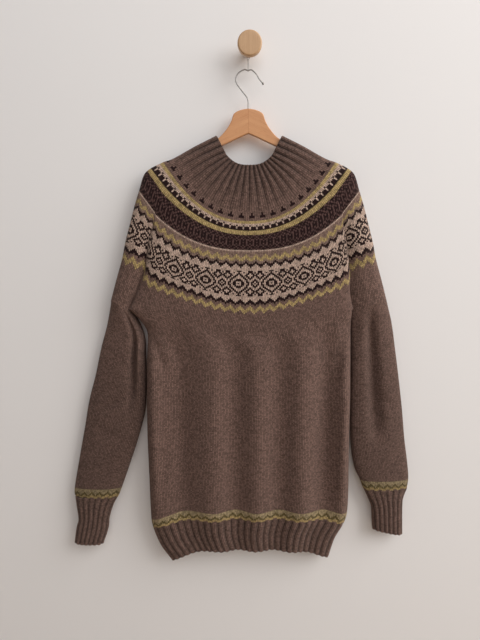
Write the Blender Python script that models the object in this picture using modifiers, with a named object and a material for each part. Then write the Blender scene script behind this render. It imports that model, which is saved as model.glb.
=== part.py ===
"""Round-yoke pullover on a flat wooden hanger that hooks onto a wall knob.

X runs across the garment, Y into the wall and Z up. The origin is the middle of the knob
stem's flat end, where it is screwed to the wall. Lengths are in metres.

The pullover is knitted in the round from the neck down, so every ring below is a round of
stitches: it dips at the centre of the chest and folds over at the shoulder or sleeve edge.
"""

import math

import bmesh
import bpy
from mathutils import Vector

# Cloth
CLOTH = 0.003
HALF_SEAM = 0.0002
NECK_RIB_HEIGHT = 0.0018
HEM_RIB_HEIGHT = 0.0016
CUFF_RIB_HEIGHT = 0.0014
RIB_OVERHANG = 0.0012

# Shares of the full rib height at each ring, from a rib's start to its edge
NECK_RIB_SHARES = (1, 1, 0.9, 0.6, 0)
HEM_RIB_SHARES = (0, 1, 1, 1)
CUFF_RIB_SHARES = (0, 0.8, 1, 1, 1)

# Steps round half a body panel and half a sleeve in the yoke. Two steps make one neck rib.
HALF_BODY = 15
HALF_SLEEVE = 7

# Depths from the wall
FOLD_Y = -0.020
SHOULDER_BACK_Y = -0.0045
CREASE_FRONT_Y = -0.030
CREASE_BACK_Y = -0.012
SLEEVE_TOP_FRONT_Y = -0.042
SLEEVE_TOP_BACK_Y = -0.005
TUCK = 0.002

# Clearance between body and sleeve tubes under the arm, and the powers that keep it near the fold
UNDERARM_CLEARANCE = 0.002
BODY_FOLD_POWER = 30
SLEEVE_FOLD_POWER = 12

# Rounds of the neck and yoke, at the middle of the cloth. The fold is the armhole crease.
YOKE_COLUMNS = (
    "centre_z bow fold_x left_pull body_z sleeve_z outer_x outer_z front_y crease"
).split()
YOKE_ROUNDS = (
    (-0.2255, 2.8, 0.0480, 0.0000, -0.2042, -0.2042, 0.0665, -0.1680, -0.033, 0.00),
    (-0.2680, 2.6, 0.0865, 0.0000, -0.2234, -0.2234, 0.1080, -0.1884, -0.037, 0.00),
    (-0.3180, 2.4, 0.1300, 0.0000, -0.2502, -0.2502, 0.1565, -0.2120, -0.040, 0.00),
    (-0.3380, 2.3, 0.1480, 0.0000, -0.2586, -0.2586, 0.1765, -0.2190, -0.042, 0.00),
    (-0.3580, 2.2, 0.1700, 0.0000, -0.2730, -0.2730, 0.2025, -0.2315, -0.044, 0.00),
    (-0.3780, 2.3, 0.1830, 0.0000, -0.3000, -0.3000, 0.2160, -0.2445, -0.046, 0.05),
    (-0.3950, 2.5, 0.1900, 0.0020, -0.3220, -0.3200, 0.2255, -0.2725, -0.047, 0.15),
    (-0.4264, 2.6, 0.1925, 0.0040, -0.3600, -0.3450, 0.2370, -0.3065, -0.049, 0.40),
    (-0.4590, 2.6, 0.1990, 0.0070, -0.4000, -0.3680, 0.2485, -0.3460, -0.051, 0.65),
    (-0.4940, 2.6, 0.2045, 0.0070, -0.4330, -0.3970, 0.2590, -0.3815, -0.052, 0.85),
    (-0.5205, 2.6, 0.2090, 0.0080, -0.4645, -0.4300, 0.2660, -0.4130, -0.053, 0.90),
    (-0.5480, 2.4, 0.2100, 0.0230, -0.4960, -0.4720, 0.2795, -0.4565, -0.053, 0.95),
    (-0.5750, 2.2, 0.2180, 0.0336, -0.5200, -0.5200, 0.2930, -0.5020, -0.052, 1.00),
)
RIB_END = 2
MIDDLE_YOKE = 6
LOWER_YOKE = 9
DIVIDE = 12
YOKE_SQUARENESS = 4
LEVEL_EDGE_POWER = 6

# Rounds of the body tube under the divide, down to the top of the hem rib.
BODY_COLUMNS = "centre_z bow left_x left_z right_x right_z front_y back_y wave".split()
BODY_ROUNDS = (
    (-0.610, 2.0, 0.2180, -0.566, 0.2170, -0.563, -0.052, -0.0055, 0.0015),
    (-0.655, 2.0, 0.2190, -0.637, 0.2180, -0.633, -0.053, -0.0060, 0.0035),
    (-0.720, 2.0, 0.2210, -0.722, 0.2200, -0.716, -0.054, -0.0065, 0.0055),
    (-0.800, 2.5, 0.2218, -0.806, 0.2202, -0.800, -0.055, -0.0065, 0.0065),
    (-0.880, 3.0, 0.2203, -0.896, 0.2225, -0.883, -0.056, -0.0065, 0.0070),
    (-0.930, 3.5, 0.2200, -0.950, 0.2237, -0.933, -0.056, -0.0065, 0.0075),
    (-0.970, 4.0, 0.2190, -1.000, 0.2225, -0.982, -0.056, -0.0065, 0.0075),
    (-0.990, 4.0, 0.2160, -1.020, 0.2170, -1.007, -0.054, -0.0065, 0.0070),
)
HEM_ROUNDS = (
    (-0.990, 4.0, 0.2160, -1.020, 0.2170, -1.007, -0.054, -0.0065, 0.0070),
    (-1.028, 4.0, 0.1990, -1.064, 0.1965, -1.046, -0.050, -0.0065, 0.0055),
    (-1.066, 4.0, 0.1750, -1.100, 0.1830, -1.092, -0.047, -0.0065, 0.0045),
)
BODY_EDGE = 0.004
BODY_SQUARENESS = 3.2
FOLD_FADE_POWER = 6

# Crests of the soft upright folds, as fractions of the half width, left to right.
FRONT_CRESTS = (-1.5, -0.945, -0.345, 0.085, 0.52, 0.985, 1.45)
BACK_CRESTS = (-1.6, -0.72, -0.20, 0.30, 0.80, 1.6)
BACK_WAVE_SHARE = 0.4

# Sections across each sleeve from under the divide to the cuff's end. Depth is half the section's.
SLEEVE_COLUMNS = "inner_x inner_z outer_x outer_z depth".split()
SLEEVE_SECTIONS = {
    "right": (
        (0.2235, -0.575, 0.3065, -0.549, 0.0190),
        (0.2245, -0.635, 0.3170, -0.607, 0.0185),
        (0.2255, -0.700, 0.3285, -0.676, 0.0180),
        (0.2275, -0.765, 0.3390, -0.745, 0.0175),
        (0.2320, -0.830, 0.3475, -0.812, 0.0170),
        (0.2410, -0.880, 0.3570, -0.870, 0.0165),
        (0.2530, -0.906, 0.3611, -0.906, 0.0165),
        (0.2625, -0.930, 0.3590, -0.929, 0.0155),
    ),
    "left": (
        (0.2290, -0.575, 0.3050, -0.557, 0.0190),
        (0.2262, -0.630, 0.3195, -0.606, 0.0185),
        (0.2270, -0.695, 0.3350, -0.669, 0.0180),
        (0.2317, -0.750, 0.3506, -0.723, 0.0175),
        (0.2485, -0.812, 0.3633, -0.785, 0.0170),
        (0.2665, -0.865, 0.3755, -0.842, 0.0165),
        (0.2880, -0.925, 0.3935, -0.930, 0.0165),
        (0.2965, -0.947, 0.3925, -0.950, 0.0155),
    ),
}
CUFF_SECTIONS = {
    "right": (
        (0.2625, -0.930, 0.3590, -0.929, 0.0155),
        (0.2760, -0.955, 0.3500, -0.952, 0.0135),
        (0.2835, -0.975, 0.3488, -0.972, 0.0125),
        (0.2862, -1.000, 0.3500, -1.005, 0.0120),
        (0.2882, -1.027, 0.3519, -1.041, 0.0120),
    ),
    "left": (
        (0.2965, -0.947, 0.3925, -0.950, 0.0155),
        (0.3100, -0.968, 0.3892, -0.971, 0.0135),
        (0.3205, -1.000, 0.3863, -1.005, 0.0125),
        (0.3244, -1.027, 0.3919, -1.027, 0.0120),
        (0.3372, -1.063, 0.3980, -1.062, 0.0120),
    ),
}
SLEEVE_EDGE = 0.004
SLEEVE_OPENNESS = 0.6
SLEEVE_BACK_FLATTER = 0.002
SLEEVE_SQUARENESS = 2.5

# Long soft troughs in the sleeve fronts: place across, half width, depth, start and end down it.
TROUGH_FADE_IN = 0.08
TROUGH_FADE_OUT = 0.10
SLEEVE_TROUGHS = {
    "right": ((0.48, 0.17, 0.0070, -0.50, -0.80),),
    "left": ((0.24, 0.08, 0.0060, -0.53, -0.78), (0.62, 0.16, 0.0040, -0.56, -0.86)),
}

# Hanger. The garment's heights are taken from its hanger's datum, which hangs this far under
# the middle of the knob. Outline points run from the middle outwards, as x and z.
HANGER_DROP = 0.0035
HANGER_X = -0.002
HANGER_THICKNESS = 0.010
HANGER_EDGE_ROUND = 0.0015
SHOULDER_CLEARANCE = 0.0055
HANGER_TOP = ((0.0, -0.1127), (0.0150, -0.1152), (0.0290, -0.1222))
HANGER_SWEEP = (
    (0.0345, -0.1360),
    (0.0405, -0.1470),
    (0.0480, -0.1570),
    (0.0560, -0.1655),
    (0.0660, -0.1725),
)
HANGER_TIP = ((-0.006, 0.002), (-0.002, -0.004), (-0.004, -0.011), (-0.014, -0.014))
HANGER_LOWER = ((0.1200, -0.2130), (0.0600, -0.1870), (0.0150, -0.1668), (0.0, -0.1605))

# Wire hook from the hanger's top to its beaded tip. The bead is given as distances along the
# wire past the last point, with the wire's thickness there as a share of its own.
HOOK_WIRE = 0.0026
HOOK_ROUTE = (
    (-0.0025, -0.1124),
    (-0.0035, -0.0930),
    (-0.0165, -0.0760),
    (-0.0272, -0.0600),
    (-0.0240, -0.0460),
    (-0.0110, -0.0375),
    (-0.0030, -0.0392),
    (0.0040, -0.0378),
    (0.0140, -0.0460),
    (0.0195, -0.0548),
    (0.0262, -0.0625),
)
HOOK_REST = 6
HOOK_BEAD = ((0.0006, 1.45), (0.0018, 1.85), (0.0032, 1.60), (0.0042, 0.90))

# Thin loop round the knob's stem
LOOP_WIRE = 0.0010
LOOP_HALF_WIDTH = 0.0012
LOOP_BEND = 0.9
LOOP_BEND_RISE = 0.7
LOOP_STRAND_RISE = 0.0007
LOOP_WAIST_Z = -0.0185
LOOP_ARCH_DEGREES = range(-110, 111, 20)

# Wall knob
KNOB_RADIUS = 0.0240
KNOB_THICKNESS = 0.0130
KNOB_FACE_Y = -0.045
KNOB_EDGE_ROUND = 0.003
KNOB_SIDES = 32
STEM_RADIUS = 0.009
PART_GAP = 0.0003


def blend(a, b, share):
    """The value this share of the way from a to b."""
    return a + (b - a) * share


def superellipse(ratio, power):
    """Height, from 0 to 1, of a rounded outline at this share of its half width."""
    return (1 - min(abs(ratio), 1) ** power) ** (1 / power)


def smoothstep(low, high, value):
    """Eased step from 0 at low to 1 at high."""
    share = min(max((value - low) / (high - low), 0), 1)
    return share * share * (3 - 2 * share)


def row_at(table, columns, level):
    """One round of a table as a dict, on a smooth curve through the rows when level isn't whole."""
    last = len(table) - 1
    start = min(int(level), last - 1)
    share = level - start
    before, low, high, after = (
        table[min(max(start + step, 0), last)] for step in (-1, 0, 1, 2)
    )
    values = []
    for p, q, r, s in zip(before, low, high, after):
        curve = q + 0.5 * share * (
            r - p + share * (2 * p - 5 * q + 4 * r - s + share * (3 * (q - r) + s - p))
        )
        values.append(curve)
    return dict(zip(columns, values))


def evenly(points, count):
    """The same curve as count + 1 points at even distances along it."""
    along = [0.0]
    for here, following in zip(points, points[1:]):
        along.append(along[-1] + (following - here).length)
    result = []
    at = 0
    for step in range(count + 1):
        goal = along[-1] * step / count
        while at < len(along) - 2 and along[at + 1] < goal:
            at += 1
        span = along[at + 1] - along[at]
        share = (goal - along[at]) / span if span else 0
        result.append(points[at].lerp(points[at + 1], min(max(share, 0), 1)))
    return result


def wave(across, crests):
    """Height of the folds, from -1 in a trough to 1 on a crest, at this share of the half width."""
    for number, (low, high) in enumerate(zip(crests, crests[1:])):
        if across <= high:
            break
    turns = number + (across - low) / (high - low)
    return math.cos(2 * math.pi * turns) * (1 - abs(across) ** FOLD_FADE_POWER)


def yoke_panel(row, face, samples=120):
    """Front (face -1) or back (face 1) stretch of a yoke round, between its armhole creases."""
    outer_y = row["front_y"] if face < 0 else SHOULDER_BACK_Y
    crease_y = CREASE_FRONT_Y if face < 0 else CREASE_BACK_Y
    level_edge = row["crease"] ** LEVEL_EDGE_POWER
    points = []
    for step in range(samples + 1):
        across = math.sin(math.pi * (step / samples - 0.5))
        fold_x = row["fold_x"] + (row["left_pull"] if across < 0 else 0)
        nose = superellipse(across, YOKE_SQUARENESS)
        x = fold_x * across
        rounded = superellipse(x / row["outer_x"], YOKE_SQUARENESS)
        plain_y = blend(FOLD_Y, outer_y, rounded)
        creased_y = blend(crease_y, outer_y, nose)
        curved = abs(across) ** row["bow"]
        eased = math.sin(math.pi / 2 * across) ** 2
        rise = blend(curved, eased, level_edge)
        z = blend(row["centre_z"], row["body_z"], rise)
        z += (row["sleeve_z"] - row["body_z"]) * (1 - nose) ** 2
        overhang = 4 * nose * (1 - nose) * TUCK * row["crease"] * (1 if face < 0 else 0)
        x += math.copysign(overhang, across)
        points.append(Vector((x, blend(plain_y, creased_y, row["crease"]), z)))
    return points


def yoke_sleeve(row, side, face, samples=48):
    """Stretch of a yoke round on a sleeve, from the crease out to the fold at its edge."""
    sign = -1 if side == "left" else 1
    outer_y = row["front_y"] if face < 0 else SHOULDER_BACK_Y
    crease_y = CREASE_FRONT_Y if face < 0 else CREASE_BACK_Y
    ridge_y = SLEEVE_TOP_FRONT_Y if face < 0 else SLEEVE_TOP_BACK_Y
    fold_x = row["fold_x"] + (row["left_pull"] if side == "left" else 0)
    level_edge = row["crease"] ** LEVEL_EDGE_POWER
    points = []
    for step in range(samples + 1):
        across = (1 - math.cos(math.pi * step / samples)) / 2
        x = blend(fold_x, row["outer_x"], across)
        rounded = superellipse(x / row["outer_x"], YOKE_SQUARENESS)
        plain_y = blend(FOLD_Y, outer_y, rounded)
        creased_y = sleeve_depth(across, crease_y, ridge_y, FOLD_Y, 1)
        eased = math.sin(math.pi / 2 * across) ** 2
        rise = blend(across, eased, level_edge)
        z = blend(row["sleeve_z"], row["outer_z"], rise)
        y = blend(plain_y, creased_y, row["crease"])
        points.append(Vector((sign * x, y, z)))
    return points


def sleeve_depth(across, inner_y, ridge_y, outer_y, openness):
    """Depth of a sleeve's face: a gentle rise out of an open crease, or a round inner fold."""
    if across >= 0.5:
        return blend(outer_y, ridge_y, superellipse(2 * across - 1, SLEEVE_SQUARENESS))
    gentle = math.sin(math.pi * across)
    rounded = superellipse(1 - 2 * across, SLEEVE_SQUARENESS)
    return blend(inner_y, ridge_y, blend(rounded, gentle, openness))


def yoke_round(row, half_body, half_sleeve):
    """A closed round of the neck or yoke: front, right sleeve, back, left sleeve."""
    front = evenly(yoke_panel(row, -1), 2 * half_body)
    back = evenly(yoke_panel(row, 1), 2 * half_body)
    faces = {
        (side, face): evenly(yoke_sleeve(row, side, face), half_sleeve)
        for side in ("left", "right")
        for face in (-1, 1)
    }
    right = faces["right", -1][1:] + faces["right", 1][-2:0:-1]
    left = faces["left", 1][1:] + faces["left", -1][-2:0:-1]
    return front + right + back[::-1] + left


def body_round(row, half_body, split=1, samples=120):
    """A closed round of the body tube, front from left to right and back from right to left."""
    result = []
    for face in (-1, 1):
        outer_y = row["front_y"] if face < 0 else row["back_y"]
        crests = FRONT_CRESTS if face < 0 else BACK_CRESTS
        height = row["wave"] * (-1 if face < 0 else BACK_WAVE_SHARE)
        dense = []
        for step in range(samples + 1):
            across = math.sin(math.pi * (step / samples - 0.5))
            side = "left" if across < 0 else "right"
            y = blend(FOLD_Y + face * BODY_EDGE, outer_y, superellipse(across, BODY_SQUARENESS))
            y += height * wave(across, crests)
            rise = abs(across) ** row["bow"]
            z = blend(row["centre_z"], row[side + "_z"], rise)
            dense.append(Vector((row[side + "_x"] * across, y, z)))
        coarse = evenly(dense, 2 * half_body)
        result += evenly(coarse, 2 * half_body * split)[:: -face]
    return result


def divide_body_round(half_body):
    """First round of the body: the yoke's last one, drawn in clear of the sleeves."""
    row = row_at(YOKE_ROUNDS, YOKE_COLUMNS, DIVIDE)
    result = []
    for face in (-1, 1):
        dense = yoke_panel(row, face)
        for point in dense:
            fold_x = row["fold_x"] + (row["left_pull"] if point.x < 0 else 0)
            near_fold = min(abs(point.x) / fold_x, 1) ** BODY_FOLD_POWER
            point.x -= math.copysign(UNDERARM_CLEARANCE, point.x) * near_fold
        result += evenly(dense, 2 * half_body)[:: -face]
    return result


def sleeve_round(row, side, half_sleeve, openness=0.0, troughs=(), samples=48):
    """A closed round of a sleeve: front from inner to outer edge, back, and the underarm fold."""
    sign = -1 if side == "left" else 1
    middle_z = (row["inner_z"] + row["outer_z"]) / 2
    faces = []
    for face in (-1, 1):
        dense = []
        depth = row["depth"] - (SLEEVE_BACK_FLATTER if face > 0 else 0)
        for step in range(samples + 1):
            across = (1 - math.cos(math.pi * step / samples)) / 2
            inner_y = FOLD_Y + face * SLEEVE_EDGE
            y = sleeve_depth(across, inner_y, FOLD_Y + face * depth, FOLD_Y, openness)
            for spot, width, trough, start, end in troughs if face < 0 else ():
                fade_in = smoothstep(start, start - TROUGH_FADE_IN, middle_z)
                fade_out = smoothstep(end, end + TROUGH_FADE_OUT, middle_z)
                y += trough * fade_in * fade_out * math.exp(-(((across - spot) / width) ** 2))
            x = blend(row["inner_x"], row["outer_x"], across)
            z = blend(row["inner_z"], row["outer_z"], across)
            dense.append(Vector((sign * x, y, z)))
        faces.append(evenly(dense, half_sleeve))
    return closed_sleeve(faces, side)


def closed_sleeve(faces, side):
    """The closed round of a sleeve's front and back and the middle of its underarm fold."""
    front, back = faces
    ring = front + back[-2::-1] + [(front[0] + back[0]) / 2]
    return ring[::-1] if side == "left" else ring


def divide_sleeve_round(side, half_sleeve, split):
    """First round of a sleeve: the yoke's last one, closed by the stitches under the arm."""
    row = row_at(YOKE_ROUNDS, YOKE_COLUMNS, DIVIDE)
    sign = -1 if side == "left" else 1
    fold_x = row["fold_x"] + (row["left_pull"] if side == "left" else 0)
    faces = []
    for face in (-1, 1):
        dense = yoke_sleeve(row, side, face)
        for point in dense:
            near_fold = (row["outer_x"] - abs(point.x)) / (row["outer_x"] - fold_x)
            point.x += sign * UNDERARM_CLEARANCE * near_fold**SLEEVE_FOLD_POWER
        faces.append(evenly(evenly(dense, half_sleeve), half_sleeve * split))
    return closed_sleeve(faces, side)


def levels(first, last, steps):
    """Evenly spaced levels from first to last."""
    return [first + (last - first) * step / steps for step in range(steps + 1)]


def material(name, colour, roughness, metallic=0.0):
    """Principled material of one colour."""
    made = bpy.data.materials.new(name)
    made.use_nodes = True
    shader = made.node_tree.nodes["Principled BSDF"]
    shader.inputs["Base Color"].default_value = (*colour, 1)
    shader.inputs["Roughness"].default_value = roughness
    shader.inputs["Metallic"].default_value = metallic
    return made


def place(name, mesh, finish):
    """Object of this name and finish in the garment's collection, hung at the hanger's height."""
    obj = bpy.data.objects.new(name, mesh)
    obj.location.z = -HANGER_DROP
    obj.data.materials.append(finish)
    GARMENT.objects.link(obj)
    return obj


def knitted_tube(
    name, rounds, finish, ribs=None, overhang=False, before=None, after=None, divide=None, half=None
):
    """Wall of cloth through closed rounds, plain inside, with ribs raised on its outer side.

    The rounds before and after it belong to its neighbours, so that both ends of a seam lean alike.
    At the divide, where three tubes meet, the wall's thickness is level. A half is the open
    stretch of wall between two of the rounds' points.
    """
    around = len(rounds[0])
    first, last = half or (0, around - 1)
    columns = [i % around for i in range(first, last + 1)]
    cloth = bmesh.new()
    grids = {"outer": [], "inner": []}
    followed = [before or rounds[0], *rounds, after or rounds[-1]]
    for level, points in enumerate(rounds):
        above, below = followed[level], followed[level + 2]
        height = ribs[level] if ribs else 0
        for layer in grids.values():
            layer.append([])
        for i in columns:
            along = points[(i + 1) % around] - points[i - 1]
            point = points[i]
            if half and i in (columns[0], columns[-1]):
                inset = HALF_SEAM if i == columns[0] else -HALF_SEAM
                point = point + along.normalized() * inset
            down = below[i] - above[i]
            out = along.cross(down)
            if divide == level:
                out.z = 0
            out.normalize()
            raised = height if i % 2 == 0 else 0
            outer = point - out * (CLOTH / 2 + raised)
            if overhang and raised and level == len(rounds) - 1:
                outer += down.normalized() * RIB_OVERHANG
            grids["outer"][-1].append(cloth.verts.new(outer))
            grids["inner"][-1].append(cloth.verts.new(point + out * CLOTH / 2))
    pairs = [(i, i + 1) for i in range(len(columns) - 1)]
    if not half:
        pairs.append((len(columns) - 1, 0))
    for level in range(len(rounds) - 1):
        for i, j in pairs:
            for layer in grids.values():
                cloth.faces.new(
                    (layer[level][i], layer[level][j], layer[level + 1][j], layer[level + 1][i])
                )
        for i in (0, -1) if half else ():
            outer, inner = grids["outer"], grids["inner"]
            cloth.faces.new(
                (outer[level][i], outer[level + 1][i], inner[level + 1][i], inner[level][i])
            )
    for level in (0, -1):
        outer, inner = grids["outer"][level], grids["inner"][level]
        for i, j in pairs:
            cloth.faces.new((outer[i], outer[j], inner[j], inner[i]))
    bmesh.ops.recalc_face_normals(cloth, faces=cloth.faces)
    mesh = bpy.data.meshes.new(name)
    cloth.to_mesh(mesh)
    cloth.free()
    mesh.shade_smooth()
    return place(name, mesh, finish)


def moved(points, distance):
    """A round moved up by this distance."""
    return [point + Vector((0, 0, distance)) for point in points]


def part_seam(above, below):
    """Draws the last round above a seam and the first one below it apart, square to the seam."""
    seam = above[-1]
    above[-1], below[0] = [], []
    for i, point in enumerate(seam):
        along = seam[(i + 1) % len(seam)] - seam[i - 1]
        down = below[1][i] - above[-2][i]
        across = down - down.project(along)
        above[-1].append(point - across.normalized() * HALF_SEAM)
        below[0].append(point + across.normalized() * HALF_SEAM)


def neck_and_yoke(wool):
    """The ribbed neck, whose ribs fade out, and the yoke's three bands, each in two halves.

    The halves are parted at the shoulder and sleeve folds.
    """

    def round_at(level):
        return yoke_round(row_at(YOKE_ROUNDS, YOKE_COLUMNS, level), HALF_BODY, HALF_SLEEVE)

    def band(first, last, steps):
        return [round_at(level) for level in levels(first, last, steps)]

    neck = band(0, RIB_END, len(NECK_RIB_SHARES) - 1)
    upper = band(RIB_END, MIDDLE_YOKE, MIDDLE_YOKE - RIB_END)
    middle = band(MIDDLE_YOKE, LOWER_YOKE, LOWER_YOKE - MIDDLE_YOKE)
    lower = band(LOWER_YOKE, DIVIDE, DIVIDE - LOWER_YOKE)
    part_seam(neck, upper)
    part_seam(upper, middle)
    part_seam(middle, lower)
    lower[-1] = moved(lower[-1], HALF_SEAM)
    ribs = [NECK_RIB_HEIGHT * share for share in NECK_RIB_SHARES]
    knitted_tube("neck_rib", neck, wool, ribs, after=upper[1])
    right_fold = 2 * HALF_BODY + HALF_SLEEVE
    front = (-HALF_SLEEVE, right_fold)
    back = (right_fold, right_fold + 2 * (HALF_BODY + HALF_SLEEVE))
    for side, half in (("front", front), ("back", back)):
        knitted_tube(f"yoke_upper_{side}", upper, wool, before=neck[-2], after=middle[1], half=half)
        knitted_tube(
            f"yoke_middle_{side}", middle, wool, before=upper[-2], after=lower[1], half=half
        )
        knitted_tube(
            f"yoke_lower_{side}", lower, wool, before=middle[-2], divide=len(lower) - 1, half=half
        )


def body_and_hem(wool):
    """The body tube and the ribbed hem that draws it in."""

    def body_at(level, split=1):
        return body_round(row_at(BODY_ROUNDS, BODY_COLUMNS, level), HALF_BODY, split)

    def hem_at(level, split=2):
        return body_round(row_at(HEM_ROUNDS, BODY_COLUMNS, level), HALF_BODY, split)

    body_end = len(BODY_ROUNDS) - 1
    body_levels = levels(0, body_end, body_end)
    body = [moved(divide_body_round(HALF_BODY), -HALF_SEAM)]
    body += [body_at(level) for level in body_levels]
    body[-1] = moved(body[-1], HALF_SEAM)
    hem_levels = levels(0, len(HEM_ROUNDS) - 1, len(HEM_RIB_SHARES) - 1)
    hem = [hem_at(level) for level in hem_levels]
    hem[0] = moved(hem[0], -HALF_SEAM)
    heights = [HEM_RIB_HEIGHT * share for share in HEM_RIB_SHARES]
    knitted_tube("body", body, wool, after=hem_at(hem_levels[1], split=1), divide=0)
    above_hem = body_at(body_levels[-2], split=2)
    knitted_tube("hem_rib", hem, wool, heights, overhang=True, before=above_hem)


def sleeve_and_cuff(side, wool):
    """One sleeve tube and its ribbed cuff."""
    half_sleeve = 2 * HALF_SLEEVE

    def sleeve_at(level):
        row = row_at(SLEEVE_SECTIONS[side], SLEEVE_COLUMNS, level)
        openness = SLEEVE_OPENNESS * max(0, 1 - level)
        return sleeve_round(row, side, half_sleeve, openness, SLEEVE_TROUGHS[side])

    def cuff_at(level):
        return sleeve_round(row_at(CUFF_SECTIONS[side], SLEEVE_COLUMNS, level), side, half_sleeve)

    sleeve_levels = levels(0, len(SLEEVE_SECTIONS[side]) - 1, 9)
    sleeve = [moved(divide_sleeve_round(side, HALF_SLEEVE, 2), -HALF_SEAM)]
    sleeve += [sleeve_at(level) for level in sleeve_levels]
    sleeve[-1] = moved(sleeve[-1], HALF_SEAM)
    cuff_end = len(CUFF_SECTIONS[side]) - 1
    cuff = [cuff_at(level) for level in levels(0, cuff_end, cuff_end)]
    cuff[0] = moved(cuff[0], -HALF_SEAM)
    heights = [CUFF_RIB_HEIGHT * share for share in CUFF_RIB_SHARES]
    knitted_tube(f"sleeve_{side}", sleeve, wool, after=cuff[1], divide=0)
    knitted_tube(f"cuff_{side}", cuff, wool, heights, overhang=True, before=sleeve[-2])


def hanger_wood(wood):
    """Flat hanger: a neck block that sweeps out into two sloping arms with round tips."""
    shoulder = [dict(zip(YOKE_COLUMNS, row)) for row in YOKE_ROUNDS[1:5]]
    under_cloth = [(row["outer_x"], row["outer_z"] - SHOULDER_CLEARANCE) for row in shoulder]
    end_x, end_z = under_cloth.pop()
    tip = [(end_x + x, end_z + z) for x, z in HANGER_TIP]
    half = [*HANGER_TOP, *HANGER_SWEEP, *under_cloth, *tip, *HANGER_LOWER]
    outline = half[:-1] + [(-x, z) for x, z in half[:0:-1]]
    curve = bpy.data.curves.new("hanger_wood", "CURVE")
    curve.dimensions = "2D"
    curve.fill_mode = "BOTH"
    curve.extrude = HANGER_THICKNESS / 2 - HANGER_EDGE_ROUND
    curve.bevel_depth = HANGER_EDGE_ROUND
    curve.bevel_resolution = 1
    curve.offset = -HANGER_EDGE_ROUND
    spline = curve.splines.new("POLY")
    spline.points.add(len(outline) - 1)
    for point, (x, z) in zip(spline.points, outline):
        point.co = (x, z, 0, 1)
    spline.use_cyclic_u = True
    hanger = place("hanger_wood", curve, wood)
    hanger.rotation_euler.x = math.pi / 2
    hanger.location.x = HANGER_X
    hanger.location.y = FOLD_Y


def smooth_route(points, steps):
    """Points along a smooth curve through the given ones, steps to each stretch."""
    padded = [points[0], *points, points[-1]]
    route = []
    for i in range(len(points) - 1):
        a, b, c, d = (Vector(p) for p in padded[i : i + 4])
        for step in range(steps):
            t = step / steps
            route.append(
                b + 0.5 * t * (c - a + t * (2 * a - 5 * b + 4 * c - d + t * (3 * (b - c) + d - a)))
            )
    return [*route, Vector(points[-1])]


def wire(name, points, diameter, finish, thickness=None):
    """Bent round wire: a closed ring, or an open length when its thickness is given all along."""
    curve = bpy.data.curves.new(name, "CURVE")
    curve.dimensions = "3D"
    curve.bevel_depth = diameter / 2
    curve.bevel_resolution = 2
    curve.use_fill_caps = thickness is not None
    spline = curve.splines.new("POLY")
    spline.points.add(len(points) - 1)
    spline.use_cyclic_u = thickness is None
    for point, spot, share in zip(spline.points, points, thickness or [1] * len(points)):
        point.co = (*spot, 1)
        point.radius = share
    return place(name, curve, finish)


def hanger_hook(steel):
    """The hanger's bent wire hook with its beaded tip."""
    route = smooth_route([(x, FOLD_Y, z) for x, z in HOOK_ROUTE], 3)
    onward = (route[-1] - route[-2]).normalized()
    bead = [route[-1] + onward * distance for distance, share in HOOK_BEAD]
    thickness = [1] * len(route) + [share for distance, share in HOOK_BEAD]
    wire("hanger_hook", route + bead, HOOK_WIRE, steel, thickness)


def wire_loop(steel):
    """The thin loop that goes round the knob's stem and under the hook's crook."""
    rest_x, rest_z = HOOK_ROUTE[HOOK_REST]
    reach = (HOOK_WIRE + LOOP_WIRE) / 2 + PART_GAP
    over_stem = STEM_RADIUS + LOOP_WIRE / 2 + PART_GAP
    near, far = (
        (rest_x + LOOP_HALF_WIDTH * side, FOLD_Y + reach * side, rest_z + LOOP_STRAND_RISE)
        for side in (-1, 1)
    )
    bottom = []
    for turn in (-LOOP_BEND, 0.0, LOOP_BEND):
        z = rest_z - reach + reach * (1 - math.cos(turn)) * LOOP_BEND_RISE
        bottom.append((rest_x, FOLD_Y + reach * math.sin(turn), z))
    arch = []
    for degrees in LOOP_ARCH_DEGREES:
        turn = math.radians(degrees)
        z = over_stem * math.cos(turn) + HANGER_DROP
        arch.append((over_stem * math.sin(turn), FOLD_Y, z))
    waist_near, waist_far = (
        (rest_x + LOOP_HALF_WIDTH * side, FOLD_Y, LOOP_WAIST_Z) for side in (-1, 1)
    )
    route = [*bottom[1:], far, waist_far, *arch[::-1], waist_near, near, bottom[0]]
    wire("wire_loop", route, LOOP_WIRE, steel)


def claim(obj, finish):
    """Moves an object made by an operator into the garment's collection, with its finish."""
    for collection in list(obj.users_collection):
        collection.objects.unlink(obj)
    GARMENT.objects.link(obj)
    obj.data.materials.append(finish)
    obj.data.shade_smooth()


def knob(wood):
    """Turned wooden wall knob: a disc on a short stem."""
    for name, radius, front, back, rounding in (
        ("knob_disc", KNOB_RADIUS, KNOB_FACE_Y, KNOB_FACE_Y + KNOB_THICKNESS, KNOB_EDGE_ROUND),
        ("knob_stem", STEM_RADIUS, KNOB_FACE_Y + KNOB_THICKNESS + PART_GAP, 0.0, 0.0),
    ):
        bpy.ops.mesh.primitive_cylinder_add(vertices=KNOB_SIDES, radius=radius, depth=back - front)
        turned = bpy.context.object
        turned.name = name
        turned.rotation_euler.x = math.pi / 2
        turned.location.y = (front + back) / 2
        claim(turned, wood)
        if rounding:
            edge = turned.modifiers.new("edge", "BEVEL")
            edge.width = rounding
            edge.segments = 2
            edge.limit_method = "ANGLE"


for old in list(bpy.data.objects):
    bpy.data.objects.remove(old)
GARMENT = bpy.data.collections.new("yoke_pullover")
bpy.context.scene.collection.children.link(GARMENT)

brown_wool = material("brown_heather_wool", (0.105, 0.068, 0.052), 0.95)
hanger_beech = material("hanger_beech", (0.52, 0.24, 0.10), 0.45)
knob_beech = material("knob_beech", (0.50, 0.30, 0.16), 0.55)
bright_steel = material("bright_steel", (0.62, 0.62, 0.62), 0.25, 1.0)

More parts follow.
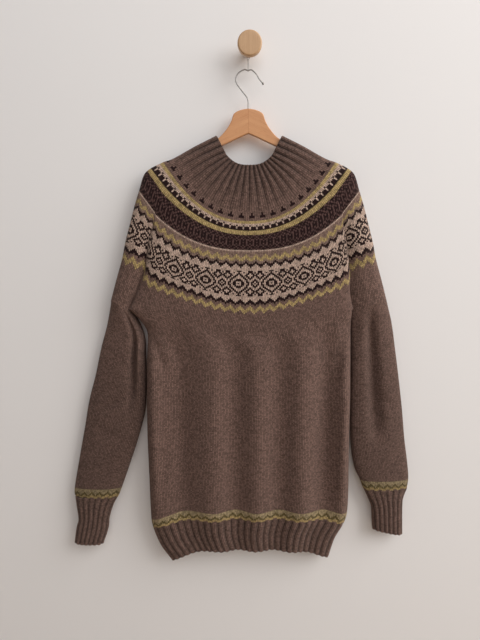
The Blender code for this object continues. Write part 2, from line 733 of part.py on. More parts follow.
neck_and_yoke(brown_wool)
body_and_hem(brown_wool)
for sleeve_side in ("left", "right"):
    sleeve_and_cuff(sleeve_side, brown_wool)
hanger_wood(hanger_beech)
hanger_hook(bright_steel)
wire_loop(bright_steel)
knob(knob_beech)
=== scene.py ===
"""The looks of a round-yoke pullover on a flat wooden hanger, hung from a wooden wall knob.

X runs across the garment, Y into the wall and Z up. Lengths are in metres.
"""

import math

import bpy
import numpy as np
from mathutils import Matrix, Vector


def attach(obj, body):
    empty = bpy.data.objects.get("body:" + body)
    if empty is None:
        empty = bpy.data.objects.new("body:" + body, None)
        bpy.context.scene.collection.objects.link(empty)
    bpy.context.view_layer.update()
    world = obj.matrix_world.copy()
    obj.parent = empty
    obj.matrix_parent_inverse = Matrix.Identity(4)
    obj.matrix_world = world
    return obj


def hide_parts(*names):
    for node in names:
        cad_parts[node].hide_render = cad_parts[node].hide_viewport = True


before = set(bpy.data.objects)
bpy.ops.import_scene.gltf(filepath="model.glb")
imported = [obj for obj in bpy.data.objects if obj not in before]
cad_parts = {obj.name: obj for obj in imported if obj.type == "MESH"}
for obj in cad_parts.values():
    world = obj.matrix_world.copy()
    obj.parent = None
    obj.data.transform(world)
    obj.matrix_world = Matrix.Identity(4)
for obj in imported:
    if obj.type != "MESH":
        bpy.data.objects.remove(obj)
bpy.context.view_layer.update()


# Neck rib. The band at the top of the pullover is knitted in ribs that fan out over the
# shoulders and fade into the plain yoke. It is fine brown heather wool, worked in the round.

CLOTH = 0.003

# Hanger, hook and garment all hang this much lower than the heights given for them.
HANGER_DROP = 0.0035

# Depths of the side folds, the back and the armhole creases, and the tops of the sleeves. The
# yoke's front is tucked out a little over its creases.
FOLD_Y = -0.020
SHOULDER_BACK_Y = -0.0045
CREASE_FRONT_Y = -0.030
CREASE_BACK_Y = -0.012
SLEEVE_TOP_FRONT_Y = -0.042
SLEEVE_TOP_BACK_Y = -0.005
TUCK = 0.002

# Rounds of the neck and yoke at the middle of the cloth, from the neck edge to the divide. Bow
# is how late a round curves up to its folds, left_pull how much further out its left fold lies,
# and crease how deep its armhole creases are.
YOKE_COLUMNS = (
    "centre_z bow fold_x left_pull body_z sleeve_z outer_x outer_z front_y crease"
).split()
YOKE_ROUNDS = (
    (-0.2255, 2.8, 0.0480, 0.0000, -0.2042, -0.2042, 0.0665, -0.1680, -0.033, 0.00),
    (-0.2680, 2.6, 0.0865, 0.0000, -0.2234, -0.2234, 0.1080, -0.1884, -0.037, 0.00),
    (-0.3180, 2.4, 0.1300, 0.0000, -0.2502, -0.2502, 0.1565, -0.2120, -0.040, 0.00),
    (-0.3380, 2.3, 0.1480, 0.0000, -0.2586, -0.2586, 0.1765, -0.2190, -0.042, 0.00),
    (-0.3580, 2.2, 0.1700, 0.0000, -0.2730, -0.2730, 0.2025, -0.2315, -0.044, 0.00),
    (-0.3780, 2.3, 0.1830, 0.0000, -0.3000, -0.3000, 0.2160, -0.2445, -0.046, 0.05),
    (-0.3950, 2.5, 0.1900, 0.0020, -0.3220, -0.3200, 0.2255, -0.2725, -0.047, 0.15),
    (-0.4264, 2.6, 0.1925, 0.0040, -0.3600, -0.3450, 0.2370, -0.3065, -0.049, 0.40),
    (-0.4590, 2.6, 0.1990, 0.0070, -0.4000, -0.3680, 0.2485, -0.3460, -0.051, 0.65),
    (-0.4940, 2.6, 0.2045, 0.0070, -0.4330, -0.3970, 0.2590, -0.3815, -0.052, 0.85),
    (-0.5205, 2.6, 0.2090, 0.0080, -0.4645, -0.4300, 0.2660, -0.4130, -0.053, 0.90),
    (-0.5480, 2.4, 0.2100, 0.0230, -0.4960, -0.4720, 0.2795, -0.4565, -0.053, 0.95),
    (-0.5750, 2.2, 0.2180, 0.0336, -0.5200, -0.5200, 0.2930, -0.5020, -0.052, 1.00),
)
RIB_END = 2
DIVIDE = 12

# One knitted row's height, with rows counted down from the neck edge.
COURSE = 0.0028
PANEL_RIBS = 15
SLEEVE_RIBS = 7
NECK_RIBS = 2 * (PANEL_RIBS + SLEEVE_RIBS)
NECK_RIB_HEIGHT = 0.0022
NECK_RIB_FADES_FROM = 0.9
NECK_STITCHES_TO_A_RIB = 4
NECK_LEVELS = 37
STEPS_TO_A_RIB = 16
SEAM_OVERLAP = 0.06
YOKE_SQUARENESS = 4
SLEEVE_ROUNDNESS = 2.5
CREASE_EASING = 6
RIB_ROUNDNESS = 0.6
CLOTH_SHARP_DEGREES = 70


def blend(a, b, share):
    """The value this share of the way from a to b."""
    return a + (b - a) * share


def superellipse(ratio, power):
    """Height, from 0 to 1, of a rounded outline at this share of its half width."""
    return (1 - np.minimum(np.abs(ratio), 1) ** power) ** (1 / power)


def smoothstep(low, high, value):
    """Eased step from 0 at low to 1 at high."""
    share = np.clip((value - low) / (high - low), 0, 1)
    return share * share * (3 - 2 * share)


def on_curve(before, low, high, after, share):
    """A value on the smooth curve through four evenly spaced ones, between low and high."""
    bend = 2 * before - 5 * low + 4 * high - after
    turn = 3 * (low - high) + after - before
    return low + 0.5 * share * (high - before + share * (bend + share * turn))


def yoke_row(level):
    """Sizes of a round as a dict, on a smooth curve through the rounds where level isn't whole."""
    last = len(YOKE_ROUNDS) - 1
    start = min(int(level), last - 1)
    four = (YOKE_ROUNDS[min(max(start + step, 0), last)] for step in (-1, 0, 1, 2))
    values = [on_curve(*column, level - start) for column in zip(*four)]
    return dict(zip(YOKE_COLUMNS, values))


def evenly(points, count):
    """The same curve as count + 1 points at even distances along it."""
    along = np.append(0, np.cumsum(np.linalg.norm(np.diff(points, axis=0), axis=1)))
    goals = np.linspace(0, along[-1], count + 1)
    return np.stack([np.interp(goals, along, points[:, k]) for k in range(3)], axis=1)


def yoke_panel(row, face, samples=600):
    """Front (face -1) or back (face 1) stretch of a yoke round, between its armhole creases."""
    outer_y = row["front_y"] if face < 0 else SHOULDER_BACK_Y
    crease_y = CREASE_FRONT_Y if face < 0 else CREASE_BACK_Y
    across = np.sin(np.pi * (np.linspace(0, 1, samples + 1) - 0.5))
    nose = superellipse(across, YOKE_SQUARENESS)
    x = (row["fold_x"] + np.where(across < 0, row["left_pull"], 0)) * across
    plain_y = blend(FOLD_Y, outer_y, superellipse(x / row["outer_x"], YOKE_SQUARENESS))
    creased_y = blend(crease_y, outer_y, nose)
    eased = np.sin(np.pi / 2 * across) ** 2
    rise = blend(np.abs(across) ** row["bow"], eased, row["crease"] ** CREASE_EASING)
    z = blend(row["centre_z"], row["body_z"], rise)
    z = z + (row["sleeve_z"] - row["body_z"]) * (1 - nose) ** 2
    if face < 0:
        x = x + np.sign(across) * 4 * nose * (1 - nose) * TUCK * row["crease"]
    return np.stack([x, blend(plain_y, creased_y, row["crease"]), z], axis=1)


def sleeve_depth(
    across, inner_y, ridge_y, outer_y, openness, ridge=0.5, roundness=SLEEVE_ROUNDNESS
):
    """Depth of a sleeve's face: a gentle rise out of an open crease, or a round inner fold.

    The ridge is where the face stands out most, as a share of the way across.
    """
    beyond = np.maximum((across - ridge) / (1 - ridge), 0)
    outer_part = blend(outer_y, ridge_y, superellipse(beyond, roundness))
    gentle = np.sin(np.pi / 2 * across / ridge)
    rounded = superellipse(np.maximum(1 - across / ridge, 0), SLEEVE_ROUNDNESS)
    inner_part = blend(inner_y, ridge_y, blend(rounded, gentle, openness))
    return np.where(across >= ridge, outer_part, inner_part)


def yoke_sleeve(row, side, face, samples=300):
    """Stretch of a yoke round on a sleeve, from the crease out to the fold at its edge."""
    sign = -1 if side == "left" else 1
    outer_y = row["front_y"] if face < 0 else SHOULDER_BACK_Y
    crease_y = CREASE_FRONT_Y if face < 0 else CREASE_BACK_Y
    ridge_y = SLEEVE_TOP_FRONT_Y if face < 0 else SLEEVE_TOP_BACK_Y
    fold_x = row["fold_x"] + (row["left_pull"] if side == "left" else 0)
    across = (1 - np.cos(np.pi * np.linspace(0, 1, samples + 1))) / 2
    x = blend(fold_x, row["outer_x"], across)
    plain_y = blend(FOLD_Y, outer_y, superellipse(x / row["outer_x"], YOKE_SQUARENESS))
    creased_y = sleeve_depth(across, crease_y, ridge_y, FOLD_Y, 1)
    eased = np.sin(np.pi / 2 * across) ** 2
    rise = blend(across, eased, row["crease"] ** CREASE_EASING)
    z = blend(row["sleeve_z"], row["outer_z"], rise)
    return np.stack([sign * x, blend(plain_y, creased_y, row["crease"]), z], axis=1)


def yoke_round(level, steps):
    """A closed round of the neck or yoke: front, right sleeve, back, left sleeve."""
    row = yoke_row(level)
    front, back = (evenly(yoke_panel(row, face), PANEL_RIBS * steps) for face in (-1, 1))
    sleeves = {
        (side, face): evenly(yoke_sleeve(row, side, face), SLEEVE_RIBS * steps // 2)
        for side in ("left", "right")
        for face in (-1, 1)
    }
    right = [sleeves["right", -1][1:], sleeves["right", 1][-2:0:-1]]
    left = [sleeves["left", 1][1:], sleeves["left", -1][-2:0:-1]]
    return np.concatenate([front, *right, back[::-1], *left])


def courses_at(levels):
    """Knitted rows from the neck edge down to these levels, by their height at the centre front."""
    heights = np.array([yoke_row(level)["centre_z"] for level in levels])
    return (YOKE_ROUNDS[0][0] - heights) / COURSE


def rib_heights(shares, ribs, rise, height):
    """Rounded ribs with narrow valleys, by their share round and their rise from 0 to 1."""
    profile = (0.5 + 0.5 * np.cos(2 * np.pi * ribs * shares)) ** RIB_ROUNDNESS
    return height * rise[:, None] * profile[None]


def add_piece(name, mesh, finish, sharp_degrees):
    """Piece of the one body from a mesh in its place, smooth but for its sharp edges."""
    mesh.shade_smooth()
    mesh.set_sharp_from_angle(angle=math.radians(sharp_degrees))
    mesh.materials.clear()
    mesh.materials.append(finish)
    piece = bpy.data.objects.new(name, mesh)
    bpy.context.scene.collection.objects.link(piece)
    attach(piece, "root")
    return piece


def knitted_shell(
    name, rounds, stitches, courses, finish, raised=None, ends=(None, None), divide=None
):
    """Closed wall of cloth through rounds of points, plain inside, raised ribs on the outside.

    The ends are the neighbouring pieces' next rounds, so that both sides of a seam lean alike.
    At the divide, where three tubes meet, the wall's thickness is level. Returns the piece and
    the middle of its wall, round by round.
    """
    levels, around = rounds.shape[:2]
    above = rounds[0] if ends[0] is None else ends[0]
    below = rounds[-1] if ends[1] is None else ends[1]
    followed = np.concatenate([above[None], rounds, below[None]])
    along = np.roll(rounds, -1, axis=1) - np.roll(rounds, 1, axis=1)
    inward = np.cross(along, followed[2:] - followed[:-2])
    if divide is not None:
        inward[divide, :, 2] = 0
    inward /= np.linalg.norm(inward, axis=2, keepdims=True)
    height = 0 if raised is None else raised[:, :, None]
    outer = rounds - inward * (CLOTH / 2 + height)
    inner = rounds + inward * CLOTH / 2
    points = np.concatenate([outer.reshape(-1, 3), inner.reshape(-1, 3)])
    points[:, 2] -= HANGER_DROP

    grid = np.arange(levels * around).reshape(levels, around)
    following = np.roll(grid, -1, axis=1)
    walls = np.stack([grid[:-1], grid[1:], following[1:], following[:-1]], axis=2).reshape(-1, 4)
    rims = []
    for level in (0, -1):
        i, j = grid[level], following[level]
        rim = np.stack([i, j, j + grid.size, i + grid.size], axis=1)
        rims.append(rim if level == 0 else rim[:, ::-1])
    faces = np.concatenate([walls, walls[:, ::-1] + grid.size, *rims])

    across = np.broadcast_to(stitches, (levels, around + 1))
    down = np.broadcast_to(np.reshape(courses, (levels, -1)), (levels, around))
    u = np.stack([across[:-1, :-1], across[1:, :-1], across[1:, 1:], across[:-1, 1:]], axis=2)
    v = np.stack([down[:-1], down[1:], np.roll(down[1:], -1, 1), np.roll(down[:-1], -1, 1)], axis=2)
    wall_uv = np.stack([u, v], axis=3).reshape(-1, 4, 2)
    rim_uv = []
    for level in (0, -1):
        near, far = across[level, :-1], across[level, 1:]
        corners = np.stack([near, far, far, near], axis=1)
        corners = corners if level == 0 else corners[:, ::-1]
        rim_uv.append(np.stack([corners, np.repeat(down[level][:, None], 4, axis=1)], axis=2))
    uv = np.concatenate([wall_uv, wall_uv[:, ::-1], *rim_uv])

    mesh = bpy.data.meshes.new(name)
    mesh.from_pydata(points.tolist(), [], faces.tolist())
    mesh.uv_layers.new(name="stitches").data.foreach_set("uv", uv.reshape(-1))
    piece = add_piece(name, mesh, finish, CLOTH_SHARP_DEGREES)
    return piece, (outer + inner) / 2 - (0, 0, HANGER_DROP)


def round_shares(rounds, centre):
    """How far round each point of a round lies, from 0 at its centre front, with a closing point."""
    closed = np.concatenate([rounds, rounds[:, :1]], axis=1)
    along = np.cumsum(np.linalg.norm(np.diff(closed, axis=1), axis=2), axis=1)
    along = np.concatenate([np.zeros((len(rounds), 1)), along], axis=1)
    share = along / along[:, -1:]
    return share - share[:, centre : centre + 1]


class Value:
    """A number in a node tree, so that its sums are written as plain expressions."""

    def __init__(self, tree, socket):
        self.tree = tree
        self.socket = socket

    def __add__(self, other):
        return maths(self.tree, "ADD", self, other)

    __radd__ = __add__

    def __sub__(self, other):
        return maths(self.tree, "SUBTRACT", self, other)

    def __rsub__(self, other):
        return maths(self.tree, "SUBTRACT", other, self)

    def __mul__(self, other):
        return maths(self.tree, "MULTIPLY", self, other)

    __rmul__ = __mul__

    def __truediv__(self, other):
        return maths(self.tree, "DIVIDE", self, other)

    def __mod__(self, other):
        return maths(self.tree, "FLOORED_MODULO", self, other)

    def __pow__(self, other):
        return maths(self.tree, "POWER", self, other)

    def __rpow__(self, other):
        return maths(self.tree, "POWER", other, self)

    def __lt__(self, other):
        return maths(self.tree, "LESS_THAN", self, other)

    def __gt__(self, other):
        return maths(self.tree, "GREATER_THAN", self, other)

    def __abs__(self):
        return maths(self.tree, "ABSOLUTE", self)

    def floor(self):
        return maths(self.tree, "FLOOR", self)

    def sine(self):
        return maths(self.tree, "SINE", self)

    def held(self):
        """This number, held between 0 and 1."""
        return maths(self.tree, "MINIMUM", maths(self.tree, "MAXIMUM", self, 0.0), 1.0)

    def between(self, first, last):
        """1 on whole numbers from first to last, else 0."""
        return (self > first - 0.5) * (self < last + 0.5)


def feed(node, inputs):
    """Links a node's inputs to sockets and values, or sets them to plain numbers."""
    for slot, value in inputs.items():
        source = value.socket if isinstance(value, Value) else value
        if isinstance(source, bpy.types.NodeSocket):
            node.id_data.links.new(source, node.inputs[slot])
        else:
            node.inputs[slot].default_value = source


def added(tree, kind, inputs, **settings):
    """New node in a tree, with its settings made before its inputs are fed."""
    node = tree.nodes.new(kind)
    for setting, value in settings.items():
        setattr(node, setting, value)
    feed(node, inputs)
    return node


def maths(tree, operation, *values):
    """Result of a Math node on values, sockets and plain numbers."""
    node = added(tree, "ShaderNodeMath", dict(enumerate(values)), operation=operation)
    return Value(tree, node.outputs[0])


def new_finish(name):
    """New material, with its node tree and its shader."""
    finish = bpy.data.materials.new(name)
    finish.use_nodes = True
    return finish, finish.node_tree, finish.node_tree.nodes["Principled BSDF"]


def linear(*colour):
    """A colour given as screen values from 0 to 255, in linear light."""
    return [((c / 255 + 0.055) / 1.055) ** 2.4 if c > 10 else c / 3295 for c in colour]


# The yarns, each as its lit colour in daylight.
YARN = {
    "brown": linear(100, 79, 71),
    "grey": linear(114, 93, 83),
    "dim": linear(74, 53, 50),
    "dark": linear(27, 11, 12),
    "light": linear(164, 142, 128),
    "olive": linear(150, 130, 88),
}


def stepped(tree, row, stops, first, last):
    """Ramp that holds a colour from each (row, colour) stop to the next, from first to last row."""
    span = last + 1 - first
    ramp = added(tree, "ShaderNodeValToRGB", {0: (row - (first - 0.5)) / span})
    ramp.color_ramp.interpolation = "CONSTANT"
    elements = ramp.color_ramp.elements
    for number, (start, colour) in enumerate(stops):
        place = (start - first) / span
        stop = elements[number] if number < 2 else elements.new(place)
        stop.position = place
        stop.color = colour
    return ramp


def striped(tree, row, stripes, last):
    """Yarn colour of each knitted row: stripes are (first row, yarn), down to the last row."""
    stops = [(start, (*YARN[yarn], 1)) for start, yarn in stripes]
    return stepped(tree, row, stops, stripes[0][0], last).outputs[0]


def charted(tree, chart, row, column):
    """1 where a stitch is knitted in the figure's yarn, by a chart's row and column from 0.

    Each chart row is a string, with # for the figure, held in one stop of a ramp as its
    columns' powers of two.
    """
    width = len(chart[0])
    stops = []
    for number, line in enumerate(chart):
        code = sum(2**k for k, mark in enumerate(line) if mark == "#") / 2**width
        if not stops or code != stops[-1][1][3]:
            stops.append((number, (0, 0, 0, code)))
    ramp = stepped(tree, row, stops, 0, len(chart) - 1)
    code = Value(tree, ramp.outputs["Alpha"]) * 2**width
    spare = 0.5 / 2**width
    return ((code * 2 ** (column * -1) + spare).floor() % 2) > 0.5


def mixed(tree, share, first, second):
    """Colour between two, by a share from 0 to 1."""
    a, b = ((*colour, 1) if isinstance(colour, list) else colour for colour in (first, second))
    # The colour sockets have the names of the number sockets before them, so they go by place.
    node = added(tree, "ShaderNodeMix", {"Factor": share, 6: a, 7: b}, data_type="RGBA")
    return node.outputs[2]


def noise(tree, vector, scale, detail=2.0):
    """Soft random number from 0 to 1 at a place."""
    inputs = {"Vector": vector, "Scale": scale, "Detail": detail}
    return Value(tree, added(tree, "ShaderNodeTexNoise", inputs).outputs["Fac"])


def placed(tree, x, y, z=0.0):
    """A vector of three numbers."""
    return added(tree, "ShaderNodeCombineXYZ", {"X": x, "Y": y, "Z": z}).outputs[0]


def own_place(tree):
    """Place on the piece itself."""
    return added(tree, "ShaderNodeTexCoord", {}).outputs["Object"]


# A stitch's two legs slant by a share of a row. Its own tone, streaks along the rows, patches,
# fibres and pale flecks each lighten the yarn by a share of its colour. Painted shade darkens the
# gaps between stitches, their ends and the valleys between ribs, and painted light lifts the
# middles of the stitches.
LEG_SLANT = 0.6
STITCH_TONE = 0.75
STREAK_TONE = 0.40
PATCH_TONE = 0.12
FIBRE_TONE = 1.30
FLECK_TONE = 0.80
TONE_LEVEL = 0.20
STREAK_ACROSS = 0.16
STREAK_DOWN = 1.7
STREAK_LAYER = 3.0
PATCH_SCALE = 40.0
FIBRE_SCALE = 620.0
FLECK_SCALE = 1500.0
FLECK_THRESHOLD = 0.60
PAINTED_MIDDLE_LIGHT = 1.12
GAP_SHADE = 0.72
PAINTED_STRAND_END_LEVEL = 0.72
PAINTED_STRAND_LIFT = 0.36
VALLEY_NARROWNESS = 2.4
VALLEY_SHADE = 0.75
FADING_VALLEY_SHADE = 0.95
VALLEY_FADE = 0.7
FIBRE_RELIEF = 0.45
WOOL_RELIEF = {"Strength": 0.55, "Distance": 0.0014}
WOOL_SURFACE = {
    "Roughness": 0.95,
    "Specular IOR Level": 0.12,
    "Sheen Weight": 0.10,
    "Sheen Roughness": 0.6,
    "Sheen Tint": (0.75, 0.62, 0.55, 1),
}


def heather_wool(name, count, draw=None, ribs=None, rib_rows=None):
    """Wool knitted in stocking stitch: stitches as pairs of slanting legs, in mottled heather yarn.

    The piece's map gives the share round and the knitted row. Count is the stitches round, or
    makes them from the row. Draw makes the yarn's colour from the node tree, stitch and row.
    Painted shade darkens the gaps between stitches and the ends of their legs. Ribs have painted
    shade in the valleys between them, which fades out over rib_rows where that is given.
    """
    finish, tree, shader = new_finish(name)
    map_place = added(tree, "ShaderNodeUVMap", {}, uv_map="stitches").outputs[0]
    apart = added(tree, "ShaderNodeSeparateXYZ", {0: map_place})
    share, course = (Value(tree, apart.outputs[k]) for k in (0, 1))

    across = share * (count(course.floor()) if callable(count) else count)
    stitch = across.floor()
    from_middle = abs(across - stitch - 0.5) * 2
    slanted = course + (from_middle - 0.5) * LEG_SLANT
    row = slanted.floor()
    strand = abs(((slanted - row) * math.pi).sine())

    cell = {"Vector": placed(tree, stitch, row)}
    cell_noise = added(tree, "ShaderNodeTexWhiteNoise", cell, noise_dimensions="2D")
    each = Value(tree, cell_noise.outputs["Value"])
    streak_place = placed(tree, across * STREAK_ACROSS, row * STREAK_DOWN, STREAK_LAYER)
    streak = noise(tree, streak_place, 1.0, 3.0)
    place = own_place(tree)
    patch = noise(tree, place, PATCH_SCALE, 3.0)
    fibre = noise(tree, place, FIBRE_SCALE, 3.0)
    fleck = noise(tree, place, FLECK_SCALE, 1.0) > FLECK_THRESHOLD
    shade = each * STITCH_TONE + streak * STREAK_TONE + patch * PATCH_TONE + fibre * FIBRE_TONE
    shade = shade - TONE_LEVEL + fleck * FLECK_TONE
    # Painted light in the middles of the stitches, and painted shade in the gaps between them and at
    # the ends of their legs.
    shade = shade * (PAINTED_MIDDLE_LIGHT - from_middle**3 * GAP_SHADE)
    shade = shade * (PAINTED_STRAND_END_LEVEL + strand * PAINTED_STRAND_LIFT)
    # Painted shade in the valleys between ribs.
    if ribs:
        valley = abs((share * ribs + 0.5) % 1 - 0.5) * 2
        depth = VALLEY_SHADE
        if rib_rows is not None:
            depth = (1 - course / rib_rows).held() ** VALLEY_FADE * FADING_VALLEY_SHADE
        shade = shade * (1 - valley**VALLEY_NARROWNESS * depth)
    yarn = draw(tree, stitch, row) if draw else YARN["brown"]
    tinted = added(tree, "ShaderNodeVectorMath", {0: yarn, "Scale": shade}, operation="SCALE")

    leg = abs((across * (2 * math.pi)).sine())
    relief = {"Height": (leg * strand) ** 0.5 + fibre * FIBRE_RELIEF, **WOOL_RELIEF}
    bump = added(tree, "ShaderNodeBump", relief)
    feed(shader, {"Base Color": tinted.outputs[0], "Normal": bump.outputs[0], **WOOL_SURFACE})
    return finish


MOTTLE_SCALE = 400.0
MOTTLE_DEPTH = 0.55


def plain_wool(name, colour):
    """Wool for loose parts too small to show stitches."""
    finish, tree, shader = new_finish(name)
    mottle = noise(tree, own_place(tree), MOTTLE_SCALE)
    deep = [part * MOTTLE_DEPTH for part in colour]
    feed(shader, {"Base Color": mixed(tree, mottle, deep, colour), "Roughness": 0.95})
    return finish


def geometry_tree(name, sizes):
    """New Geometry Nodes tree with named size inputs, and its input and output nodes."""
    tree = bpy.data.node_groups.new(name, "GeometryNodeTree")
    for way in ("INPUT", "OUTPUT"):
        tree.interface.new_socket("Geometry", in_out=way, socket_type="NodeSocketGeometry")
    for size in sizes:
        tree.interface.new_socket(size, in_out="INPUT", socket_type="NodeSocketFloat")
    return tree, tree.nodes.new("NodeGroupInput"), tree.nodes.new("NodeGroupOutput")


def finish_tree(tree, geometry, end, finish):
    """Ends a tree in smooth, real geometry with its material."""
    real = added(tree, "GeometryNodeRealizeInstances", {"Geometry": geometry})
    smooth = added(tree, "GeometryNodeSetShadeSmooth", {"Geometry": real.outputs[0]})
    done = added(
        tree, "GeometryNodeSetMaterial", {"Geometry": smooth.outputs[0], "Material": finish}
    )
    tree.links.new(done.outputs[0], end.inputs[0])


def grown(tree, base, sizes, name):
    """Plain mesh piece of wool that a tree makes on a base mesh, in these sizes."""
    starter = bpy.data.objects.new(name, base)
    bpy.context.scene.collection.objects.link(starter)
    modifier = starter.modifiers.new(name, "NODES")
    modifier.node_group = tree
    for socket in tree.interface.items_tree:
        if socket.name in sizes:
            modifier[socket.identifier] = sizes[socket.name]
    evaluated = starter.evaluated_get(bpy.context.evaluated_depsgraph_get())
    mesh = bpy.data.meshes.new_from_object(evaluated)
    starter.modifiers.remove(modifier)
    starter.data = mesh
    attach(starter, "root")
    return starter


# Cast-off edges are a chain of slanting links. Loose fibres stand out of the cloth all over, each
# leant by up to these angles, and bent like the three points of its curve.
CHAIN_SIZES = {"pitch": 0.0034, "link length": 0.0024, "link width": 0.0013, "link slant": 0.35}
FIBRE_SIZES = {"fibres a square metre": 4500.0, "reach": 0.0035, "thickness": 0.00011}
FIBRE_SEED = 11
FIBRE_LEAN = (1.1, 1.1, 3.1)
FIBRE_BEND = {"Start": (0, 0, -0.1), "Middle": (0, 0, 0.8), "End": (0.8, 0.2, 1.0)}
SHORTEST_FIBRE = 0.4
PRESSED_BY_WALL = 0.0003

chain_tree, chain_start, chain_end = geometry_tree("cast_off_chain", CHAIN_SIZES)
chain_size = chain_start.outputs
chain_edge = added(chain_tree, "GeometryNodeMeshToCurve", {"Mesh": chain_size["Geometry"]})
chain_route = added(
    chain_tree,
    "GeometryNodeResampleCurve",
    {"Curve": chain_edge.outputs[0], "Length": chain_size["pitch"]},
    mode="LENGTH",
)
link_form = added(
    chain_tree, "GeometryNodeMeshUVSphere", {"Segments": 8, "Rings": 5, "Radius": 1.0}
)
link_width = chain_size["link width"]
chain_link = added(
    chain_tree,
    "GeometryNodeTransform",
    {
        "Geometry": link_form.outputs[0],
        "Scale": placed(chain_tree, chain_size["link length"], link_width, link_width),
        "Rotation": placed(chain_tree, 0.0, chain_size["link slant"], 0.0),
    },
)
chain_tangent = added(chain_tree, "GeometryNodeInputTangent", {})
chain_heading = added(
    chain_tree,
    "FunctionNodeAlignRotationToVector",
    {"Vector": chain_tangent.outputs[0]},
    axis="X",
)
chain_upright = added(
    chain_tree,
    "FunctionNodeAlignRotationToVector",
    {"Rotation": chain_heading.outputs[0], "Vector": (0, 0, 1)},
    axis="Z",
    pivot_axis="X",
)
chain_links = added(
    chain_tree,
    "GeometryNodeInstanceOnPoints",
    {
        "Points": chain_route.outputs[0],
        "Instance": chain_link.outputs[0],
        "Rotation": chain_upright.outputs[0],
    },
)
chain_wool = plain_wool("cast_off_wool", YARN["brown"])
finish_tree(chain_tree, chain_links.outputs[0], chain_end, chain_wool)

fibre_tree, fibre_start, fibre_end = geometry_tree(
    "loose_fibres", [*FIBRE_SIZES, "outer faces"]
)
fibre_size = fibre_start.outputs
face_number = added(fibre_tree, "GeometryNodeInputIndex", {}).outputs[0]
fibre_roots = added(
    fibre_tree,
    "GeometryNodeDistributePointsOnFaces",
    {
        "Mesh": fibre_size["Geometry"],
        "Selection": maths(fibre_tree, "LESS_THAN", face_number, fibre_size["outer faces"]),
        "Density": fibre_size["fibres a square metre"],
        "Seed": FIBRE_SEED,
    },
    distribute_method="RANDOM",
)
fibre_bend = added(
    fibre_tree, "GeometryNodeCurveQuadraticBezier", {"Resolution": 2, **FIBRE_BEND}
)
fibre_reach = added(
    fibre_tree,
    "GeometryNodeTransform",
    {
        "Geometry": fibre_bend.outputs[0],
        "Scale": placed(fibre_tree, *[fibre_size["reach"]] * 3),
    },
)
fibre_section = added(
    fibre_tree,
    "GeometryNodeCurvePrimitiveCircle",
    {"Resolution": 3, "Radius": fibre_size["thickness"]},
)
fibre_form = added(
    fibre_tree,
    "GeometryNodeCurveToMesh",
    {"Curve": fibre_reach.outputs[0], "Profile Curve": fibre_section.outputs[0]},
)
fibre_lean = added(
    fibre_tree,
    "FunctionNodeRandomValue",
    {0: [-angle for angle in FIBRE_LEAN], 1: FIBRE_LEAN, "Seed": FIBRE_SEED + 1},
    data_type="FLOAT_VECTOR",
)
fibre_heading = added(
    fibre_tree,
    "FunctionNodeRotateRotation",
    {"Rotation": fibre_roots.outputs["Rotation"], "Rotate By": fibre_lean.outputs[0]},
    rotation_space="LOCAL",
)
fibre_length = added(
    fibre_tree,
    "FunctionNodeRandomValue",
    {2: SHORTEST_FIBRE, 3: 1.0, "Seed": FIBRE_SEED + 2},
    data_type="FLOAT",
)
fibres_set = added(
    fibre_tree,
    "GeometryNodeInstanceOnPoints",
    {
        "Points": fibre_roots.outputs["Points"],
        "Instance": fibre_form.outputs[0],
        "Rotation": fibre_heading.outputs[0],
        "Scale": fibre_length.outputs[1],
    },
)
fibre_wool = plain_wool("loose_wool_fibres", YARN["grey"])
finish_tree(fibre_tree, fibres_set.outputs[0], fibre_end, fibre_wool)


def cast_off(name, ring):
    """Chain of cast-off links along a ring of points."""
    base = bpy.data.meshes.new(name + "_ring")
    around = len(ring)
    base.from_pydata(ring.tolist(), [(i, (i + 1) % around) for i in range(around)], [])
    return grown(chain_tree, base, CHAIN_SIZES, name)


def loose_fibres(name, cloth, middle):
    """Fibres that stand out of the outer face of a piece of cloth, pressed flat at the wall."""
    outer = (middle.shape[0] - 1) * middle.shape[1]
    sizes = {**FIBRE_SIZES, "outer faces": float(outer)}
    fibres = grown(fibre_tree, cloth.data.copy(), sizes, name)
    for vertex in fibres.data.vertices:
        vertex.co.y = min(vertex.co.y, -PRESSED_BY_WALL)
    return fibres


def hung(cloth, middle, edge=None):
    """Grows a tube of cloth's loose fibres, and a cast-off chain along its edge where one is given.
    """
    name = cloth.name.removesuffix("_knit")
    carried = [loose_fibres(name + "_fibres", cloth, middle)]
    if edge is not None:
        carried.append(cast_off(name + "_cast_off", edge))


# A crease tapers to its ends, and dies out within a margin of the fold at the cloth's edge.
CREASE_TAPER = 0.7
FOLD_MARGIN = 0.010


def creased(rounds, creases):
    """Rounds of cloth pressed in along given lines, on the front (-1) or the back (1).

    Each crease is its face, start x and z, end x and z, half width and depth. A ridge's depth is
    below zero.
    """
    result = rounds.copy()
    for face, x, z, end_x, end_z, half_width, depth in creases:
        run = np.array([end_x - x, end_z - z])
        length = np.linalg.norm(run)
        offset = rounds[..., [0, 2]] - (x, z)
        share = np.clip(offset @ run / length**2, 0, 1)
        aside = (offset[..., 0] * run[1] - offset[..., 1] * run[0]) / length
        press = depth * np.sin(np.pi * share) ** CREASE_TAPER * np.exp(-((aside / half_width) ** 2))
        from_fold = np.clip((rounds[..., 1] - FOLD_Y) * face / FOLD_MARGIN, 0, 1)
        result[..., 1] -= face * press * from_fold
    return result


# Painted shade darkens the yarn towards the neck edge, by a share that fades over some rows.
NECK_PAINTED_SHADE = 0.18
NECK_PAINTED_SHADE_ROWS = 34
NECK_VALLEY_ROWS = 40
BLACK = [0.0, 0.0, 0.0]


def neck_colours(tree, stitch, row):
    """Brown heather with painted shade, darkest at the neck edge."""
    share = (1 - row / NECK_PAINTED_SHADE_ROWS).held() * NECK_PAINTED_SHADE
    return mixed(tree, share, YARN["brown"], BLACK)


